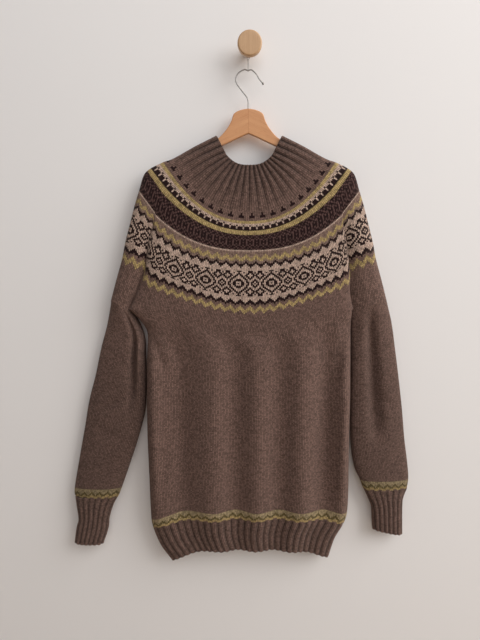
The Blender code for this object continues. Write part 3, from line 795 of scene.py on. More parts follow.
neck_wool = heather_wool(
    "neck_heather_wool",
    NECK_RIBS * NECK_STITCHES_TO_A_RIB,
    neck_colours,
    ribs=NECK_RIBS,
    rib_rows=NECK_VALLEY_ROWS,
)
neck_levels = np.linspace(0, RIB_END, NECK_LEVELS)
neck_rounds = np.stack([yoke_round(level, STEPS_TO_A_RIB) for level in neck_levels])
neck_shares = np.linspace(0, 1, neck_rounds.shape[1] + 1)
neck_rise = 1 - smoothstep(NECK_RIB_FADES_FROM, RIB_END, neck_levels)
neck, neck_middle = knitted_shell(
    "neck_rib_knit",
    neck_rounds,
    neck_shares,
    courses_at(neck_levels),
    neck_wool,
    raised=rib_heights(neck_shares[:-1], NECK_RIBS, neck_rise, NECK_RIB_HEIGHT),
    ends=(None, yoke_round(RIB_END + SEAM_OVERLAP, STEPS_TO_A_RIB)),
)
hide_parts("neck_rib")
hung(neck, neck_middle, neck_middle[0])


# Yoke. The round yoke carries the bands of colour, knitted with two yarns to a row, and its
# stitches are increased in the plain rows between bands, down to where the sleeves divide off.

YOKE_STEPS = 10
YOKE_LEVELS = 81
YOKE_OVERLAP = 0.125

# Stitches round from each row on.
YOKE_COUNTS = ((0, 240), (40, 288), (50, 320), (61, 342), (76, 360), (95, 372), (108, 376))

# The yarn behind and the yarn of the figures, from each row on.
GROUNDS = (
    (30, "brown"), (40, "olive"), (42, "light"), (45, "dark"), (47, "olive"), (50, "dark"),
    (61, "light"), (62, "grey"), (71, "dark"), (74, "light"), (100, "brown"),
)
FIGURES = (
    (30, "dark"), (45, "light"), (50, "dim"), (64, "olive"), (69, "dark"), (71, "light"),
    (74, "dark"), (102, "olive"),
)
LAST_CHARTED = 110

# Half charts, from the middle stitch of a repeat outwards, with the rows that they stand on. Small
# figures and teeth repeat every six stitches, dots every four, the dark band's rings every eight,
# and medallions every twenty. Rings and medallions are alike above and below their middle row.
SMALL_FIGURES = ("#...", "#...", "##..", "##..")
UPPER_TEETH = (
    "#...", "##..", "###.", ".###", "..##", "#...", "##..", "#...", "##..", "###.",
)
LOWER_TEETH = (
    "...#", "..##", ".###", "###.", "#...", "...#", "..##", ".###", "###.", "##..", "#...",
)
BY_SIX = ((34, SMALL_FIGURES), (64, UPPER_TEETH), (97, LOWER_TEETH))
BY_SIX_ROWS = range(33, 109)
SMALL_FIGURES_END = 40
SMALL_FIGURES_SHIFT = -1
TEETH_SHIFT = 2
DOTS = ("#..", ".##", "#..")
DOT_ROWS = (43, 45)
RINGS = ("..#.#", "#.#..", ".##.#", "#..#.", ".#..#", "..##.")
RING_ROWS = (50, 60)
MEDALLION = (
    "#.##..#.#.#",
    "..##.##.##.",
    "###..#...##",
    "##..##.#..#",
    "...##.###..",
    "..##.##.##.",
    ".##.##...##",
    "##...##.##.",
    "#..#..###.#",
    "##....###..",
)
MEDALLION_ROWS = (76, 94)
MEDALLION_SHIFT = 6


def yoke_stitches(row):
    """Stitches round at a row of the yoke."""
    count = YOKE_COUNTS[0][1]
    for (_, before), (start, now) in zip(YOKE_COUNTS, YOKE_COUNTS[1:]):
        count = (row > start - 0.5) * (now - before) + count
    return count


def from_repeat_middle(stitch, repeat, shift):
    """Stitches from the middle of a repeat, alike to both sides."""
    return abs((stitch + shift + repeat / 2) % repeat - repeat / 2)


def yoke_colours(tree, stitch, row):
    """The yoke's bands, knitted by their charts."""
    lines = {}
    for start, chart in BY_SIX:
        lines.update(enumerate(chart, start))
    by_six = [lines.get(number, "....") for number in BY_SIX_ROWS]
    shift = (row < SMALL_FIGURES_END) * (SMALL_FIGURES_SHIFT - TEETH_SHIFT) + TEETH_SHIFT
    from_six = from_repeat_middle(stitch, 6, shift)
    figure = charted(tree, by_six, row - BY_SIX_ROWS[0], from_six)
    dots = charted(tree, DOTS, row - DOT_ROWS[0], from_repeat_middle(stitch, 4, 0))
    from_ring_row = abs(row - sum(RING_ROWS) / 2)
    rings = charted(tree, RINGS, from_ring_row, from_repeat_middle(stitch, 8, 0))
    from_medallion_row = abs(row - sum(MEDALLION_ROWS) / 2)
    from_medallion = from_repeat_middle(stitch, 20, MEDALLION_SHIFT)
    medallions = charted(tree, MEDALLION, from_medallion_row, from_medallion)
    figure = figure + dots * row.between(*DOT_ROWS) + rings * row.between(*RING_ROWS)
    figure = figure + medallions * row.between(*MEDALLION_ROWS)
    ground = striped(tree, row, GROUNDS, LAST_CHARTED)
    return mixed(tree, figure, ground, striped(tree, row, FIGURES, LAST_CHARTED))


yoke_wool = heather_wool("yoke_colourwork_wool", yoke_stitches, yoke_colours)
yoke_levels = np.linspace(RIB_END, DIVIDE, YOKE_LEVELS)
yoke_rounds = np.stack([yoke_round(level, YOKE_STEPS) for level in yoke_levels])
yoke, yoke_middle = knitted_shell(
    "yoke_knit",
    yoke_rounds,
    round_shares(yoke_rounds, PANEL_RIBS * YOKE_STEPS // 2),
    courses_at(yoke_levels),
    yoke_wool,
    ends=(yoke_round(RIB_END - YOKE_OVERLAP, YOKE_STEPS), None),
    divide=-1,
)
for band in ("upper", "middle", "lower"):
    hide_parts(f"yoke_{band}_front", f"yoke_{band}_back")
hung(yoke, yoke_middle)


# Body. A straight tube without side seams hangs from the divide to the hem rib, in soft upright
# folds. Above the rib are a pale stripe and a zigzag in moss and olive.

UNDERARM_CLEARANCE = 0.002

# Rounds at the middle of the cloth, from below the divide down to the rib: the centre front's
# height, the side folds' places, how far the faces stand out, and the height of the folds.
BODY_COLUMNS = "centre_z bow left_x left_z right_x right_z front_y back_y wave".split()
BODY_ROUNDS = (
    (-0.610, 2.0, 0.2180, -0.566, 0.2170, -0.563, -0.052, -0.0055, 0.0015),
    (-0.655, 2.0, 0.2190, -0.637, 0.2180, -0.633, -0.053, -0.0060, 0.0035),
    (-0.720, 2.0, 0.2210, -0.722, 0.2200, -0.716, -0.054, -0.0065, 0.0055),
    (-0.800, 2.5, 0.2218, -0.806, 0.2202, -0.800, -0.055, -0.0065, 0.0065),
    (-0.880, 3.0, 0.2203, -0.896, 0.2225, -0.883, -0.056, -0.0065, 0.0070),
    (-0.930, 3.5, 0.2200, -0.950, 0.2237, -0.933, -0.056, -0.0065, 0.0075),
    (-0.970, 4.0, 0.2190, -1.000, 0.2225, -0.982, -0.056, -0.0065, 0.0075),
    (-0.990, 4.0, 0.2160, -1.020, 0.2170, -1.007, -0.054, -0.0065, 0.0070),
)

# How much further the folds stand out than in a garment pressed flat, from the divide down.
FOLD_SHARES = (3.2, 1.9, 1.45, 1.3, 1.25, 1.25, 1.2, 1.0)
BODY_EDGE = 0.004
BODY_SQUARENESS = 3.2
BODY_STITCHES = 282
BODY_FACE_STEPS = 150
BODY_SIDE_STEPS = 5
BODY_LEVELS = 12
BODY_PINCH = 30

# Crests of the folds, as fractions of the half width, left to right.
FRONT_CRESTS = (-1.5, -0.945, -0.345, 0.085, 0.52, 0.985, 1.45)
BACK_CRESTS = (-1.6, -0.72, -0.20, 0.30, 0.80, 1.6)
BACK_WAVE_SHARE = 0.4
FOLD_FADE = 6

# Upright ridges and troughs by the edges, then slack creases that run down from the underarms.
# What stands in each row is written in creased.
BODY_CREASES = (
    (-1, -0.206, -0.560, -0.207, -1.010, 0.015, -0.0130),
    (-1, -0.150, -0.560, -0.150, -1.010, 0.020, 0.0060),
    (-1, 0.207, -0.560, 0.209, -1.010, 0.013, -0.0130),
    (-1, 0.167, -0.560, 0.170, -1.010, 0.019, 0.0085),
    (-1, -0.212, -0.545, -0.172, -0.680, 0.011, 0.0045),
    (-1, -0.190, -0.560, -0.140, -0.640, 0.010, 0.0025),
    (-1, 0.208, -0.540, 0.180, -0.700, 0.010, 0.0040),
    (-1, 0.215, -0.640, 0.196, -0.760, 0.008, 0.0025),
    (1, 0.205, -0.545, 0.165, -0.660, 0.011, 0.0035),
    (1, -0.208, -0.540, -0.165, -0.690, 0.012, 0.0040),
    (1, -0.150, -0.700, -0.120, -0.900, 0.016, 0.0025),
)

# The rows over a rib, counted up from it, with half charts of their six-stitch repeat.
EDGE_GROUNDS = ((-9, "brown"), (-8, "straw"), (-3, "olive"), (-2, "brown"))
EDGE_FIGURES = ((-9, "moss"), (-2, "olive"))
EDGE_ZIGZAG = ("....", "....", "....", "#...", "##..", ".##.", "..##", "####", "..##")
EDGE_ROWS = (-9, -1)
YARN["moss"] = linear(88, 76, 46)
YARN["straw"] = linear(138, 123, 94)


def wave(across, crests):
    """Height of the folds, from -1 in a trough to 1 on a crest, at these shares of the width."""
    turns = np.interp(across, crests, np.arange(len(crests)))
    return np.cos(2 * np.pi * turns) * (1 - np.abs(across) ** FOLD_FADE)


def joined_round(front, back, steps):
    """A closed round from a front and a back, with straight stretches between their ends."""
    bends = []
    for start, end in ((front[-1], back[-1]), (back[0], front[0])):
        bends.append(blend(start, end, np.linspace(0, 1, steps + 1)[1:-1, None]))
    return np.concatenate([front, bends[0], back[::-1], bends[1]])


def body_round(row, face_steps, side_steps, samples=600):
    """A closed round of the body tube: front, right edge, back and left edge."""
    across = np.sin(np.pi * (np.linspace(0, 1, samples + 1) - 0.5))
    faces = []
    for face in (-1, 1):
        outer_y = row["front_y"] if face < 0 else row["back_y"]
        crests = FRONT_CRESTS if face < 0 else BACK_CRESTS
        height = row["wave"] * (-1 if face < 0 else BACK_WAVE_SHARE)
        edge_y = FOLD_Y + face * BODY_EDGE
        y = blend(edge_y, outer_y, superellipse(across, BODY_SQUARENESS))
        y = y + height * wave(across, crests)
        side_x = np.where(across < 0, row["left_x"], row["right_x"])
        side_z = np.where(across < 0, row["left_z"], row["right_z"])
        z = blend(row["centre_z"], side_z, np.abs(across) ** row["bow"])
        faces.append(evenly(np.stack([side_x * across, y, z], axis=1), face_steps))
    return joined_round(*faces, side_steps)


def divide_body_round(face_steps, side_steps):
    """First round of the body: the yoke's last one, drawn in clear of the sleeves."""
    row = yoke_row(DIVIDE)
    faces = []
    for face in (-1, 1):
        dense = yoke_panel(row, face)
        fold_x = row["fold_x"] + np.where(dense[:, 0] < 0, row["left_pull"], 0)
        near_fold = np.minimum(np.abs(dense[:, 0]) / fold_x, 1) ** BODY_PINCH
        dense[:, 0] -= np.sign(dense[:, 0]) * UNDERARM_CLEARANCE * near_fold
        faces.append(evenly(dense, face_steps))
    return joined_round(*faces, side_steps)


def run_through(rounds, steps):
    """More rounds on smooth curves through the given ones, steps to each stretch."""
    padded = [rounds[0], *rounds, rounds[-1]]
    result = []
    for number in range(len(rounds) - 1):
        four = padded[number : number + 4]
        result += [on_curve(*four, step / steps) for step in range(steps)]
    return np.stack([*result, rounds[-1]])


def edge_colours(tree, stitch, row):
    """Plain heather down to the pale stripe and zigzag over the rib."""
    first, last = EDGE_ROWS
    zigzag = charted(tree, EDGE_ZIGZAG, row - first, from_repeat_middle(stitch, 6, 0))
    figure = zigzag * row.between(first, last)
    ground = striped(tree, row, EDGE_GROUNDS, last)
    return mixed(tree, figure, ground, striped(tree, row, EDGE_FIGURES, last))


body_keys = [divide_body_round(BODY_FACE_STEPS, BODY_SIDE_STEPS)]
for values, fold_share in zip(BODY_ROUNDS, FOLD_SHARES):
    round_row = dict(zip(BODY_COLUMNS, values))
    round_row["wave"] *= fold_share
    body_keys.append(body_round(round_row, BODY_FACE_STEPS, BODY_SIDE_STEPS))
body_rounds = creased(run_through(body_keys, BODY_LEVELS), BODY_CREASES)
body_heights = run_through([YOKE_ROUNDS[DIVIDE][0], *(row[0] for row in BODY_ROUNDS)], BODY_LEVELS)
body, body_middle = knitted_shell(
    "body_knit",
    body_rounds,
    round_shares(body_rounds, BODY_FACE_STEPS // 2),
    (BODY_ROUNDS[-1][0] - body_heights) / COURSE,
    heather_wool("body_heather_wool", BODY_STITCHES, edge_colours),
    divide=0,
)
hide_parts("body")
hung(body, body_middle)


# Hem rib. Sixty-one ribs of two knitted and two purled stitches draw the body in at the bottom,
# and its cast-off edge is scalloped from rib to rib.

HEM_ROUNDS = (
    BODY_ROUNDS[-1],
    (-1.028, 4.0, 0.1990, -1.064, 0.1965, -1.046, -0.050, -0.0065, 0.0055),
    (-1.066, 4.0, 0.1750, -1.100, 0.1830, -1.092, -0.047, -0.0065, 0.0045),
)
HEM_RIBS = 61
HEM_STITCHES_TO_A_RIB = 4
HEM_RIB_HEIGHT = 0.0020
HEM_FACE_STEPS = 300
HEM_SIDE_STEPS = 5
HEM_LEVELS = 14
RIB_OVERHANG = 0.0012
HEM_RIB_STARTS_WITHIN = 0.2
SCALLOP_STEEPNESS = 8


def scallop(rounds, shares, ribs):
    """Lets the last rounds hang lower on each rib than between them."""
    profile = 0.5 + 0.5 * np.cos(2 * np.pi * ribs * shares)
    share = np.linspace(0, 1, len(rounds))[:, None] ** SCALLOP_STEEPNESS
    rounds[:, :, 2] -= RIB_OVERHANG * profile[None] * share


hem_keys = [
    body_round(dict(zip(BODY_COLUMNS, row)), HEM_FACE_STEPS, HEM_SIDE_STEPS)
    for row in HEM_ROUNDS
]
hem_rounds = run_through(hem_keys, HEM_LEVELS)
hem_shares = np.linspace(0, 1, hem_rounds.shape[1] + 1)
scallop(hem_rounds, hem_shares[:-1], HEM_RIBS)
hem_heights = run_through([row[0] for row in HEM_ROUNDS], HEM_LEVELS)
hem_rise = smoothstep(0, HEM_RIB_STARTS_WITHIN, np.linspace(0, 1, len(hem_rounds)))
hem, hem_middle = knitted_shell(
    "hem_rib_knit",
    hem_rounds,
    hem_shares,
    (HEM_ROUNDS[0][0] - hem_heights) / COURSE,
    heather_wool("hem_heather_wool", HEM_RIBS * HEM_STITCHES_TO_A_RIB, ribs=HEM_RIBS),
    raised=rib_heights(hem_shares[:-1], HEM_RIBS, hem_rise, HEM_RIB_HEIGHT),
)
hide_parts("hem_rib")
hung(hem, hem_middle, hem_middle[-1])


# Sleeves and cuffs. Each sleeve is a tapering tube from the divide to a ribbed cuff, with the
# body's pale stripe and zigzag over the rib. They hang beside the body, a little bent.

# Rounds by the places of the inner and outer folds, from below the divide down, and how far the
# faces stand out from them.
SLEEVE_COLUMNS = "inner_x inner_z outer_x outer_z depth".split()
SLEEVE_SECTIONS = {
    "right": (
        (0.2235, -0.575, 0.3065, -0.549, 0.0190),
        (0.2245, -0.635, 0.3170, -0.607, 0.0185),
        (0.2255, -0.700, 0.3285, -0.676, 0.0180),
        (0.2275, -0.765, 0.3390, -0.745, 0.0175),
        (0.2320, -0.830, 0.3475, -0.812, 0.0170),
        (0.2410, -0.880, 0.3570, -0.870, 0.0165),
        (0.2530, -0.906, 0.3611, -0.906, 0.0165),
        (0.2625, -0.930, 0.3590, -0.929, 0.0155),
    ),
    "left": (
        (0.2290, -0.575, 0.3050, -0.557, 0.0190),
        (0.2262, -0.630, 0.3195, -0.606, 0.0185),
        (0.2270, -0.695, 0.3350, -0.669, 0.0180),
        (0.2317, -0.750, 0.3506, -0.723, 0.0175),
        (0.2485, -0.812, 0.3633, -0.785, 0.0170),
        (0.2665, -0.865, 0.3755, -0.842, 0.0165),
        (0.2880, -0.925, 0.3935, -0.930, 0.0165),
        (0.2965, -0.947, 0.3925, -0.950, 0.0155),
    ),
}
CUFF_SECTIONS = {
    "right": (
        SLEEVE_SECTIONS["right"][-1],
        (0.2760, -0.955, 0.3500, -0.952, 0.0135),
        (0.2835, -0.975, 0.3488, -0.972, 0.0125),
        (0.2862, -1.000, 0.3500, -1.005, 0.0120),
        (0.2882, -1.027, 0.3519, -1.041, 0.0120),
    ),
    "left": (
        SLEEVE_SECTIONS["left"][-1],
        (0.3100, -0.968, 0.3892, -0.971, 0.0135),
        (0.3205, -1.000, 0.3863, -1.005, 0.0125),
        (0.3244, -1.027, 0.3919, -1.027, 0.0120),
        (0.3372, -1.063, 0.3980, -1.062, 0.0120),
    ),
}
SLEEVE_EDGE = 0.004
SLEEVE_PINCH = 12

# Where each sleeve's face stands out most, as a share of the way across, and its roundness.
SLEEVE_FRONT_FORM = {"left": (0.34, 1.6), "right": (0.42, 1.9)}
SLEEVE_BACK_FORM = (0.5, SLEEVE_ROUNDNESS)
SLEEVE_BACK_FLATTER = 0.002
CREASE_OPENNESS = 0.6
SLEEVE_STITCHES = 78
SLEEVE_FACE_STEPS = 84
SLEEVE_SIDE_STEPS = 6
SLEEVE_LEVELS = 10
CUFF_RIBS = 15
CUFF_STITCHES_TO_A_RIB = 4
CUFF_RIB_HEIGHT = 0.0017
CUFF_RIB_STARTS_WITHIN = 0.3
CUFF_LEVELS = 8

# Painted shade darkens the yarn down the sleeve, by a share that comes in over some rows. Rows
# are counted up from the cuff.
SLEEVE_PAINTED_SHADE = 0.20
SLEEVE_PAINTED_SHADE_FROM = -150
SLEEVE_PAINTED_SHADE_ROWS = 60

# Long soft troughs down the sleeve fronts, and on the left a ridge, whose depth is below zero. Each
# is its place across, half width, depth, and the heights where it starts and ends.
TROUGH_FADE_IN = 0.08
TROUGH_FADE_OUT = 0.10
TROUGH_EDGE_FADE = 8
SLEEVE_TROUGHS = {
    "right": ((0.45, 0.13, 0.0140, -0.50, -0.84),),
    "left": ((0.10, 0.05, -0.0080, -0.51, -0.72), (0.24, 0.07, 0.0150, -0.52, -0.76)),
}

# Short creases across the elbows and out from the underarms. What stands in each row is written
# in creased.
SLEEVE_CREASES = {
    "right": (
        (-1, 0.250, -0.690, 0.318, -0.735, 0.008, 0.0020),
        (-1, 0.262, -0.800, 0.335, -0.770, 0.009, 0.0018),
        (1, 0.235, -0.640, 0.315, -0.700, 0.009, 0.0030),
        (1, 0.240, -0.760, 0.320, -0.740, 0.010, 0.0025),
    ),
    "left": (
        (-1, -0.245, -0.700, -0.330, -0.745, 0.009, 0.0022),
        (-1, -0.262, -0.820, -0.345, -0.780, 0.010, 0.0018),
        (1, -0.240, -0.650, -0.325, -0.690, 0.010, 0.0030),
        (1, -0.260, -0.800, -0.350, -0.770, 0.009, 0.0025),
    ),
}


def closed_sleeve(front, back, side):
    """The closed round of a sleeve's front and back, from the middle of its underarm fold."""
    bend = blend(back[0], front[0], np.linspace(0, 1, SLEEVE_SIDE_STEPS + 1)[1:-1, None])
    ring = np.concatenate([front, back[-2::-1], bend])
    return ring[::-1] if side == "left" else ring


def sleeve_round(row, side, openness=0.0, troughs=(), samples=300):
    """A closed round of a sleeve: front from inner to outer edge, back, and the underarm fold."""
    sign = -1 if side == "left" else 1
    middle_z = (row["inner_z"] + row["outer_z"]) / 2
    across = (1 - np.cos(np.pi * np.linspace(0, 1, samples + 1))) / 2
    faces = []
    for face in (-1, 1):
        depth = row["depth"] - (SLEEVE_BACK_FLATTER if face > 0 else 0)
        inner_y = FOLD_Y + face * SLEEVE_EDGE
        form = SLEEVE_FRONT_FORM[side] if face < 0 and troughs else SLEEVE_BACK_FORM
        y = sleeve_depth(across, inner_y, FOLD_Y + face * depth, FOLD_Y, openness, *form)
        for spot, width, trough, start, end in troughs if face < 0 else ():
            fade_in = smoothstep(start, start - TROUGH_FADE_IN, middle_z)
            fade_out = smoothstep(end, end + TROUGH_FADE_OUT, middle_z)
            from_edges = np.minimum(TROUGH_EDGE_FADE * across * (1 - across), 1)
            pressed = np.exp(-(((across - spot) / width) ** 2)) * from_edges
            y = y + trough * fade_in * fade_out * pressed
        x = blend(row["inner_x"], row["outer_x"], across)
        z = blend(row["inner_z"], row["outer_z"], across)
        faces.append(evenly(np.stack([sign * x, y, z], axis=1), SLEEVE_FACE_STEPS))
    return closed_sleeve(*faces, side)


def divide_sleeve_round(side):
    """First round of a sleeve: the yoke's last one, closed by the stitches under the arm."""
    row = yoke_row(DIVIDE)
    sign = -1 if side == "left" else 1
    fold_x = row["fold_x"] + (row["left_pull"] if side == "left" else 0)
    faces = []
    for face in (-1, 1):
        dense = yoke_sleeve(row, side, face)
        near_fold = (row["outer_x"] - np.abs(dense[:, 0])) / (row["outer_x"] - fold_x)
        dense[:, 0] += sign * UNDERARM_CLEARANCE * near_fold**SLEEVE_PINCH
        faces.append(evenly(dense, SLEEVE_FACE_STEPS))
    return closed_sleeve(*faces, side)


def courses_along(rounds):
    """Knitted rows along a tube, from the middles of its rounds."""
    middles = rounds.mean(axis=1)
    steps = np.linalg.norm(np.diff(middles, axis=0), axis=1)
    return np.append(0, np.cumsum(steps)) / COURSE


def sleeve_colours(tree, stitch, row):
    """The body's stripe and zigzag, with painted shade that darkens the yarn down the sleeve."""
    share = ((row - SLEEVE_PAINTED_SHADE_FROM) / SLEEVE_PAINTED_SHADE_ROWS).held() * SLEEVE_PAINTED_SHADE
    return mixed(tree, share, edge_colours(tree, stitch, row), BLACK)


sleeve_wool = heather_wool("sleeve_heather_wool", SLEEVE_STITCHES, sleeve_colours)
cuff_wool = heather_wool("cuff_heather_wool", CUFF_RIBS * CUFF_STITCHES_TO_A_RIB, ribs=CUFF_RIBS)
for side in ("left", "right"):
    sleeve_keys = [divide_sleeve_round(side)]
    for number, values in enumerate(SLEEVE_SECTIONS[side]):
        section = dict(zip(SLEEVE_COLUMNS, values))
        openness = CREASE_OPENNESS if number == 0 else 0
        sleeve_keys.append(sleeve_round(section, side, openness, SLEEVE_TROUGHS[side]))
    sleeve_rounds = creased(run_through(sleeve_keys, SLEEVE_LEVELS), SLEEVE_CREASES[side])
    sleeve_courses = courses_along(sleeve_rounds)
    sleeve, sleeve_middle = knitted_shell(
        f"sleeve_{side}_knit",
        sleeve_rounds,
        round_shares(sleeve_rounds, SLEEVE_FACE_STEPS // 2),
        sleeve_courses - sleeve_courses[-1],
        sleeve_wool,
        divide=0,
    )
    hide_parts(f"sleeve_{side}")
    hung(sleeve, sleeve_middle)

    cuff_keys = []
    for values in CUFF_SECTIONS[side]:
        cuff_keys.append(sleeve_round(dict(zip(SLEEVE_COLUMNS, values)), side))
    cuff_rounds = run_through(cuff_keys, CUFF_LEVELS)
    cuff_shares = np.linspace(0, 1, cuff_rounds.shape[1] + 1)
    scallop(cuff_rounds, cuff_shares[:-1], CUFF_RIBS)
    cuff_rise = smoothstep(0, CUFF_RIB_STARTS_WITHIN, np.linspace(0, 1, len(cuff_rounds)))
    cuff, cuff_middle = knitted_shell(
        f"cuff_{side}_knit",
        cuff_rounds,
        cuff_shares,
        courses_along(cuff_rounds),
        cuff_wool,
        raised=rib_heights(cuff_shares[:-1], CUFF_RIBS, cuff_rise, CUFF_RIB_HEIGHT),
    )
    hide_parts(f"cuff_{side}")
    hung(cuff, cuff_middle, cuff_middle[-1])


# Hanger. Two flat arms of varnished beech are glued together at a mitre in the middle, with
# rounded edges and tips.

HANGER_X = -0.002
HANGER_THICKNESS = 0.010
HANGER_EDGE_ROUND = 0.0015
SHOULDER_CLEARANCE = 0.0055
HARD_SHARP_DEGREES = 50

# Half the outline, x and z: its top, the sweep down to the cloth, then under the shoulders of the
# yoke to the tip, whose points are steps from the shoulder's end, and back along the lower edge.
SHOULDER_ROUNDS = slice(1, 5)
OUTLINE_STEPS = 5
HANGER_TOP = ((0.0, -0.1127), (0.0150, -0.1152), (0.0290, -0.1222))
HANGER_SWEEP = (
    (0.0345, -0.1360),
    (0.0405, -0.1470),
    (0.0480, -0.1570),
    (0.0560, -0.1655),
    (0.0660, -0.1725),
)
HANGER_TIP = ((-0.006, 0.002), (-0.002, -0.004), (-0.004, -0.011), (-0.014, -0.014))
HANGER_LOWER = ((0.1200, -0.2130), (0.0600, -0.1870), (0.0150, -0.1668), (0.0, -0.1605))
ARM_SLOPE = math.radians(23.5)
MITRE_HALF_WIDTH = 0.0003
ARM_GRAIN_SHIFT = 0.4

# How far the grain, the figure, the pores and a mitre line each darken the wood.
GRAIN_SHARE = 0.6
FIGURE_SHARE = 0.5
PORE_SHARE = 0.18
PORE_THRESHOLD = 0.62
MITRE_SHARE = 0.7
PALEST_SHARE = 0.1
MITRE_DEPTH = 3


def solid_from(curve_object, name, finish):
    """Plain mesh piece from a curve object, which is removed."""
    bpy.context.view_layer.update()
    placed_at = curve_object.matrix_world.copy()
    evaluated = curve_object.evaluated_get(bpy.context.evaluated_depsgraph_get())
    mesh = bpy.data.meshes.new_from_object(evaluated)
    mesh.transform(placed_at)
    bpy.data.objects.remove(curve_object)
    return add_piece(name, mesh, finish, HARD_SHARP_DEGREES)


def wood_noise(tree, run, along, across, layer, detail):
    """Noise drawn out along the grain, by its scales along and across the run of the grain."""
    lengthwise, crosswise = run
    return noise(tree, placed(tree, lengthwise * along, crosswise * across, layer), 1.0, detail)


def beech(name, pale, deep, grain_run):
    """Beech with fine grain, which runs as grain_run makes it from x and z."""
    finish, tree, shader = new_finish(name)
    apart = added(tree, "ShaderNodeSeparateXYZ", {0: own_place(tree)})
    *run, line = grain_run(*(Value(tree, apart.outputs[k]) for k in (0, 2)))
    grain = wood_noise(tree, run, along=6, across=160, layer=0.0, detail=4.0)
    figure = wood_noise(tree, run, along=9, across=45, layer=4.0, detail=2.0)
    pores = wood_noise(tree, run, along=60, across=900, layer=8.0, detail=1.0)
    share = grain * GRAIN_SHARE + figure * FIGURE_SHARE + (pores > PORE_THRESHOLD) * PORE_SHARE
    share = share + line * MITRE_SHARE - PALEST_SHARE
    relief = {"Height": grain - line * MITRE_DEPTH, "Strength": 0.25, "Distance": 0.0002}
    surface = {
        "Base Color": mixed(tree, share, pale, deep),
        "Normal": added(tree, "ShaderNodeBump", relief).outputs[0],
        "Roughness": 0.42,
    }
    feed(shader, surface)
    return finish


def arm_grain(x, z):
    """Grain down each sloping arm, which meets the other at the mitre line."""
    out = abs(x - HANGER_X)
    lengthwise = out * math.cos(ARM_SLOPE) - z * math.sin(ARM_SLOPE)
    crosswise = out * math.sin(ARM_SLOPE) + z * math.cos(ARM_SLOPE) + (x > HANGER_X) * ARM_GRAIN_SHIFT
    return lengthwise, crosswise, out < MITRE_HALF_WIDTH


def smooth_points(points, steps):
    """Points along a smooth curve through the given ones."""
    return run_through([np.array(point) for point in points], steps)


shoulder = [dict(zip(YOKE_COLUMNS, row)) for row in YOKE_ROUNDS[SHOULDER_ROUNDS]]
under_cloth = [(row["outer_x"], row["outer_z"] - SHOULDER_CLEARANCE) for row in shoulder]
end_x, end_z = under_cloth.pop()
tip = [(end_x + x, end_z + z) for x, z in HANGER_TIP]
upper = smooth_points([*HANGER_TOP, *HANGER_SWEEP, *under_cloth, *tip], OUTLINE_STEPS)
lower = smooth_points([tip[-1], *HANGER_LOWER], OUTLINE_STEPS)
half_outline = np.concatenate([upper, lower[1:]])
mirrored = half_outline[-2:0:-1] * (-1, 1)
outline = np.concatenate([half_outline, mirrored])
hanger_curve = bpy.data.curves.new("hanger_outline", "CURVE")
hanger_curve.dimensions = "2D"
hanger_curve.fill_mode = "BOTH"
hanger_curve.extrude = HANGER_THICKNESS / 2 - HANGER_EDGE_ROUND
hanger_curve.bevel_depth = HANGER_EDGE_ROUND
hanger_curve.bevel_resolution = 3
hanger_curve.offset = -HANGER_EDGE_ROUND
spline = hanger_curve.splines.new("POLY")
spline.points.add(len(outline) - 1)
for point, (x, z) in zip(spline.points, outline):
    point.co = (x, z, 0, 1)
spline.use_cyclic_u = True
hanger_object = bpy.data.objects.new("hanger_outline", hanger_curve)
bpy.context.scene.collection.objects.link(hanger_object)
hanger_object.rotation_euler.x = math.pi / 2
hanger_object.location = (HANGER_X, FOLD_Y, -HANGER_DROP)
hanger_finish = beech("varnished_beech", linear(222, 168, 118), linear(176, 112, 66), arm_grain)
hanger = solid_from(hanger_object, "hanger_beech_arms", hanger_finish)
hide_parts("hanger_wood")


# Hook. Bright steel wire, bent to a crook above the hanger and ended in a small round bead. Its
# foot is fixed in the hanger's top, at the mitre.

HOOK_WIRE = 0.0026
HOOK_ROUTE = (
    (-0.0025, -0.1124),
    (-0.0035, -0.0930),
    (-0.0165, -0.0760),
    (-0.0272, -0.0600),
    (-0.0240, -0.0460),
    (-0.0110, -0.0375),
    (-0.0030, -0.0392),
    (0.0040, -0.0378),
    (0.0140, -0.0460),
    (0.0195, -0.0548),
    (0.0262, -0.0625),
)
HOOK_REST = 6
HOOK_STEPS = 8

# The bead's profile: distance beyond the wire's end, and its share of the wire's thickness.
HOOK_BEAD = (
    (0.0003, 1.2), (0.0008, 1.55), (0.0016, 1.8), (0.0024, 1.85),
    (0.0032, 1.7), (0.0039, 1.25), (0.0042, 0.7), (0.0043, 0.1),
)


def wire(name, points, diameter, finish, thickness=None):
    """Bent round wire: a closed ring, or an open length when its thickness is given all along."""
    curve = bpy.data.curves.new(name, "CURVE")
    curve.dimensions = "3D"
    curve.bevel_depth = diameter / 2
    curve.bevel_resolution = 4
    curve.use_fill_caps = thickness is not None
    spline = curve.splines.new("POLY")
    spline.points.add(len(points) - 1)
    spline.use_cyclic_u = thickness is None
    for point, spot, share in zip(spline.points, points, thickness or [1] * len(points)):
        point.co = (*spot, 1)
        point.radius = share
    drawn = bpy.data.objects.new(name + "_route", curve)
    bpy.context.scene.collection.objects.link(drawn)
    drawn.location.z = -HANGER_DROP
    return solid_from(drawn, name, finish)


WEAR_SCALE = 260.0
WEAR_ROUGHNESS = 0.2
STEEL_ROUGHNESS = 0.30
steel, steel_tree, steel_shader = new_finish("bright_steel_wire")
steel_wear = noise(steel_tree, own_place(steel_tree), WEAR_SCALE, 3.0)
steel_colour = mixed(steel_tree, steel_wear, linear(138, 134, 130), linear(164, 160, 156))
steel_surface = {
    "Base Color": steel_colour,
    "Metallic": 1.0,
    "Roughness": steel_wear * WEAR_ROUGHNESS + STEEL_ROUGHNESS,
}
feed(steel_shader, steel_surface)

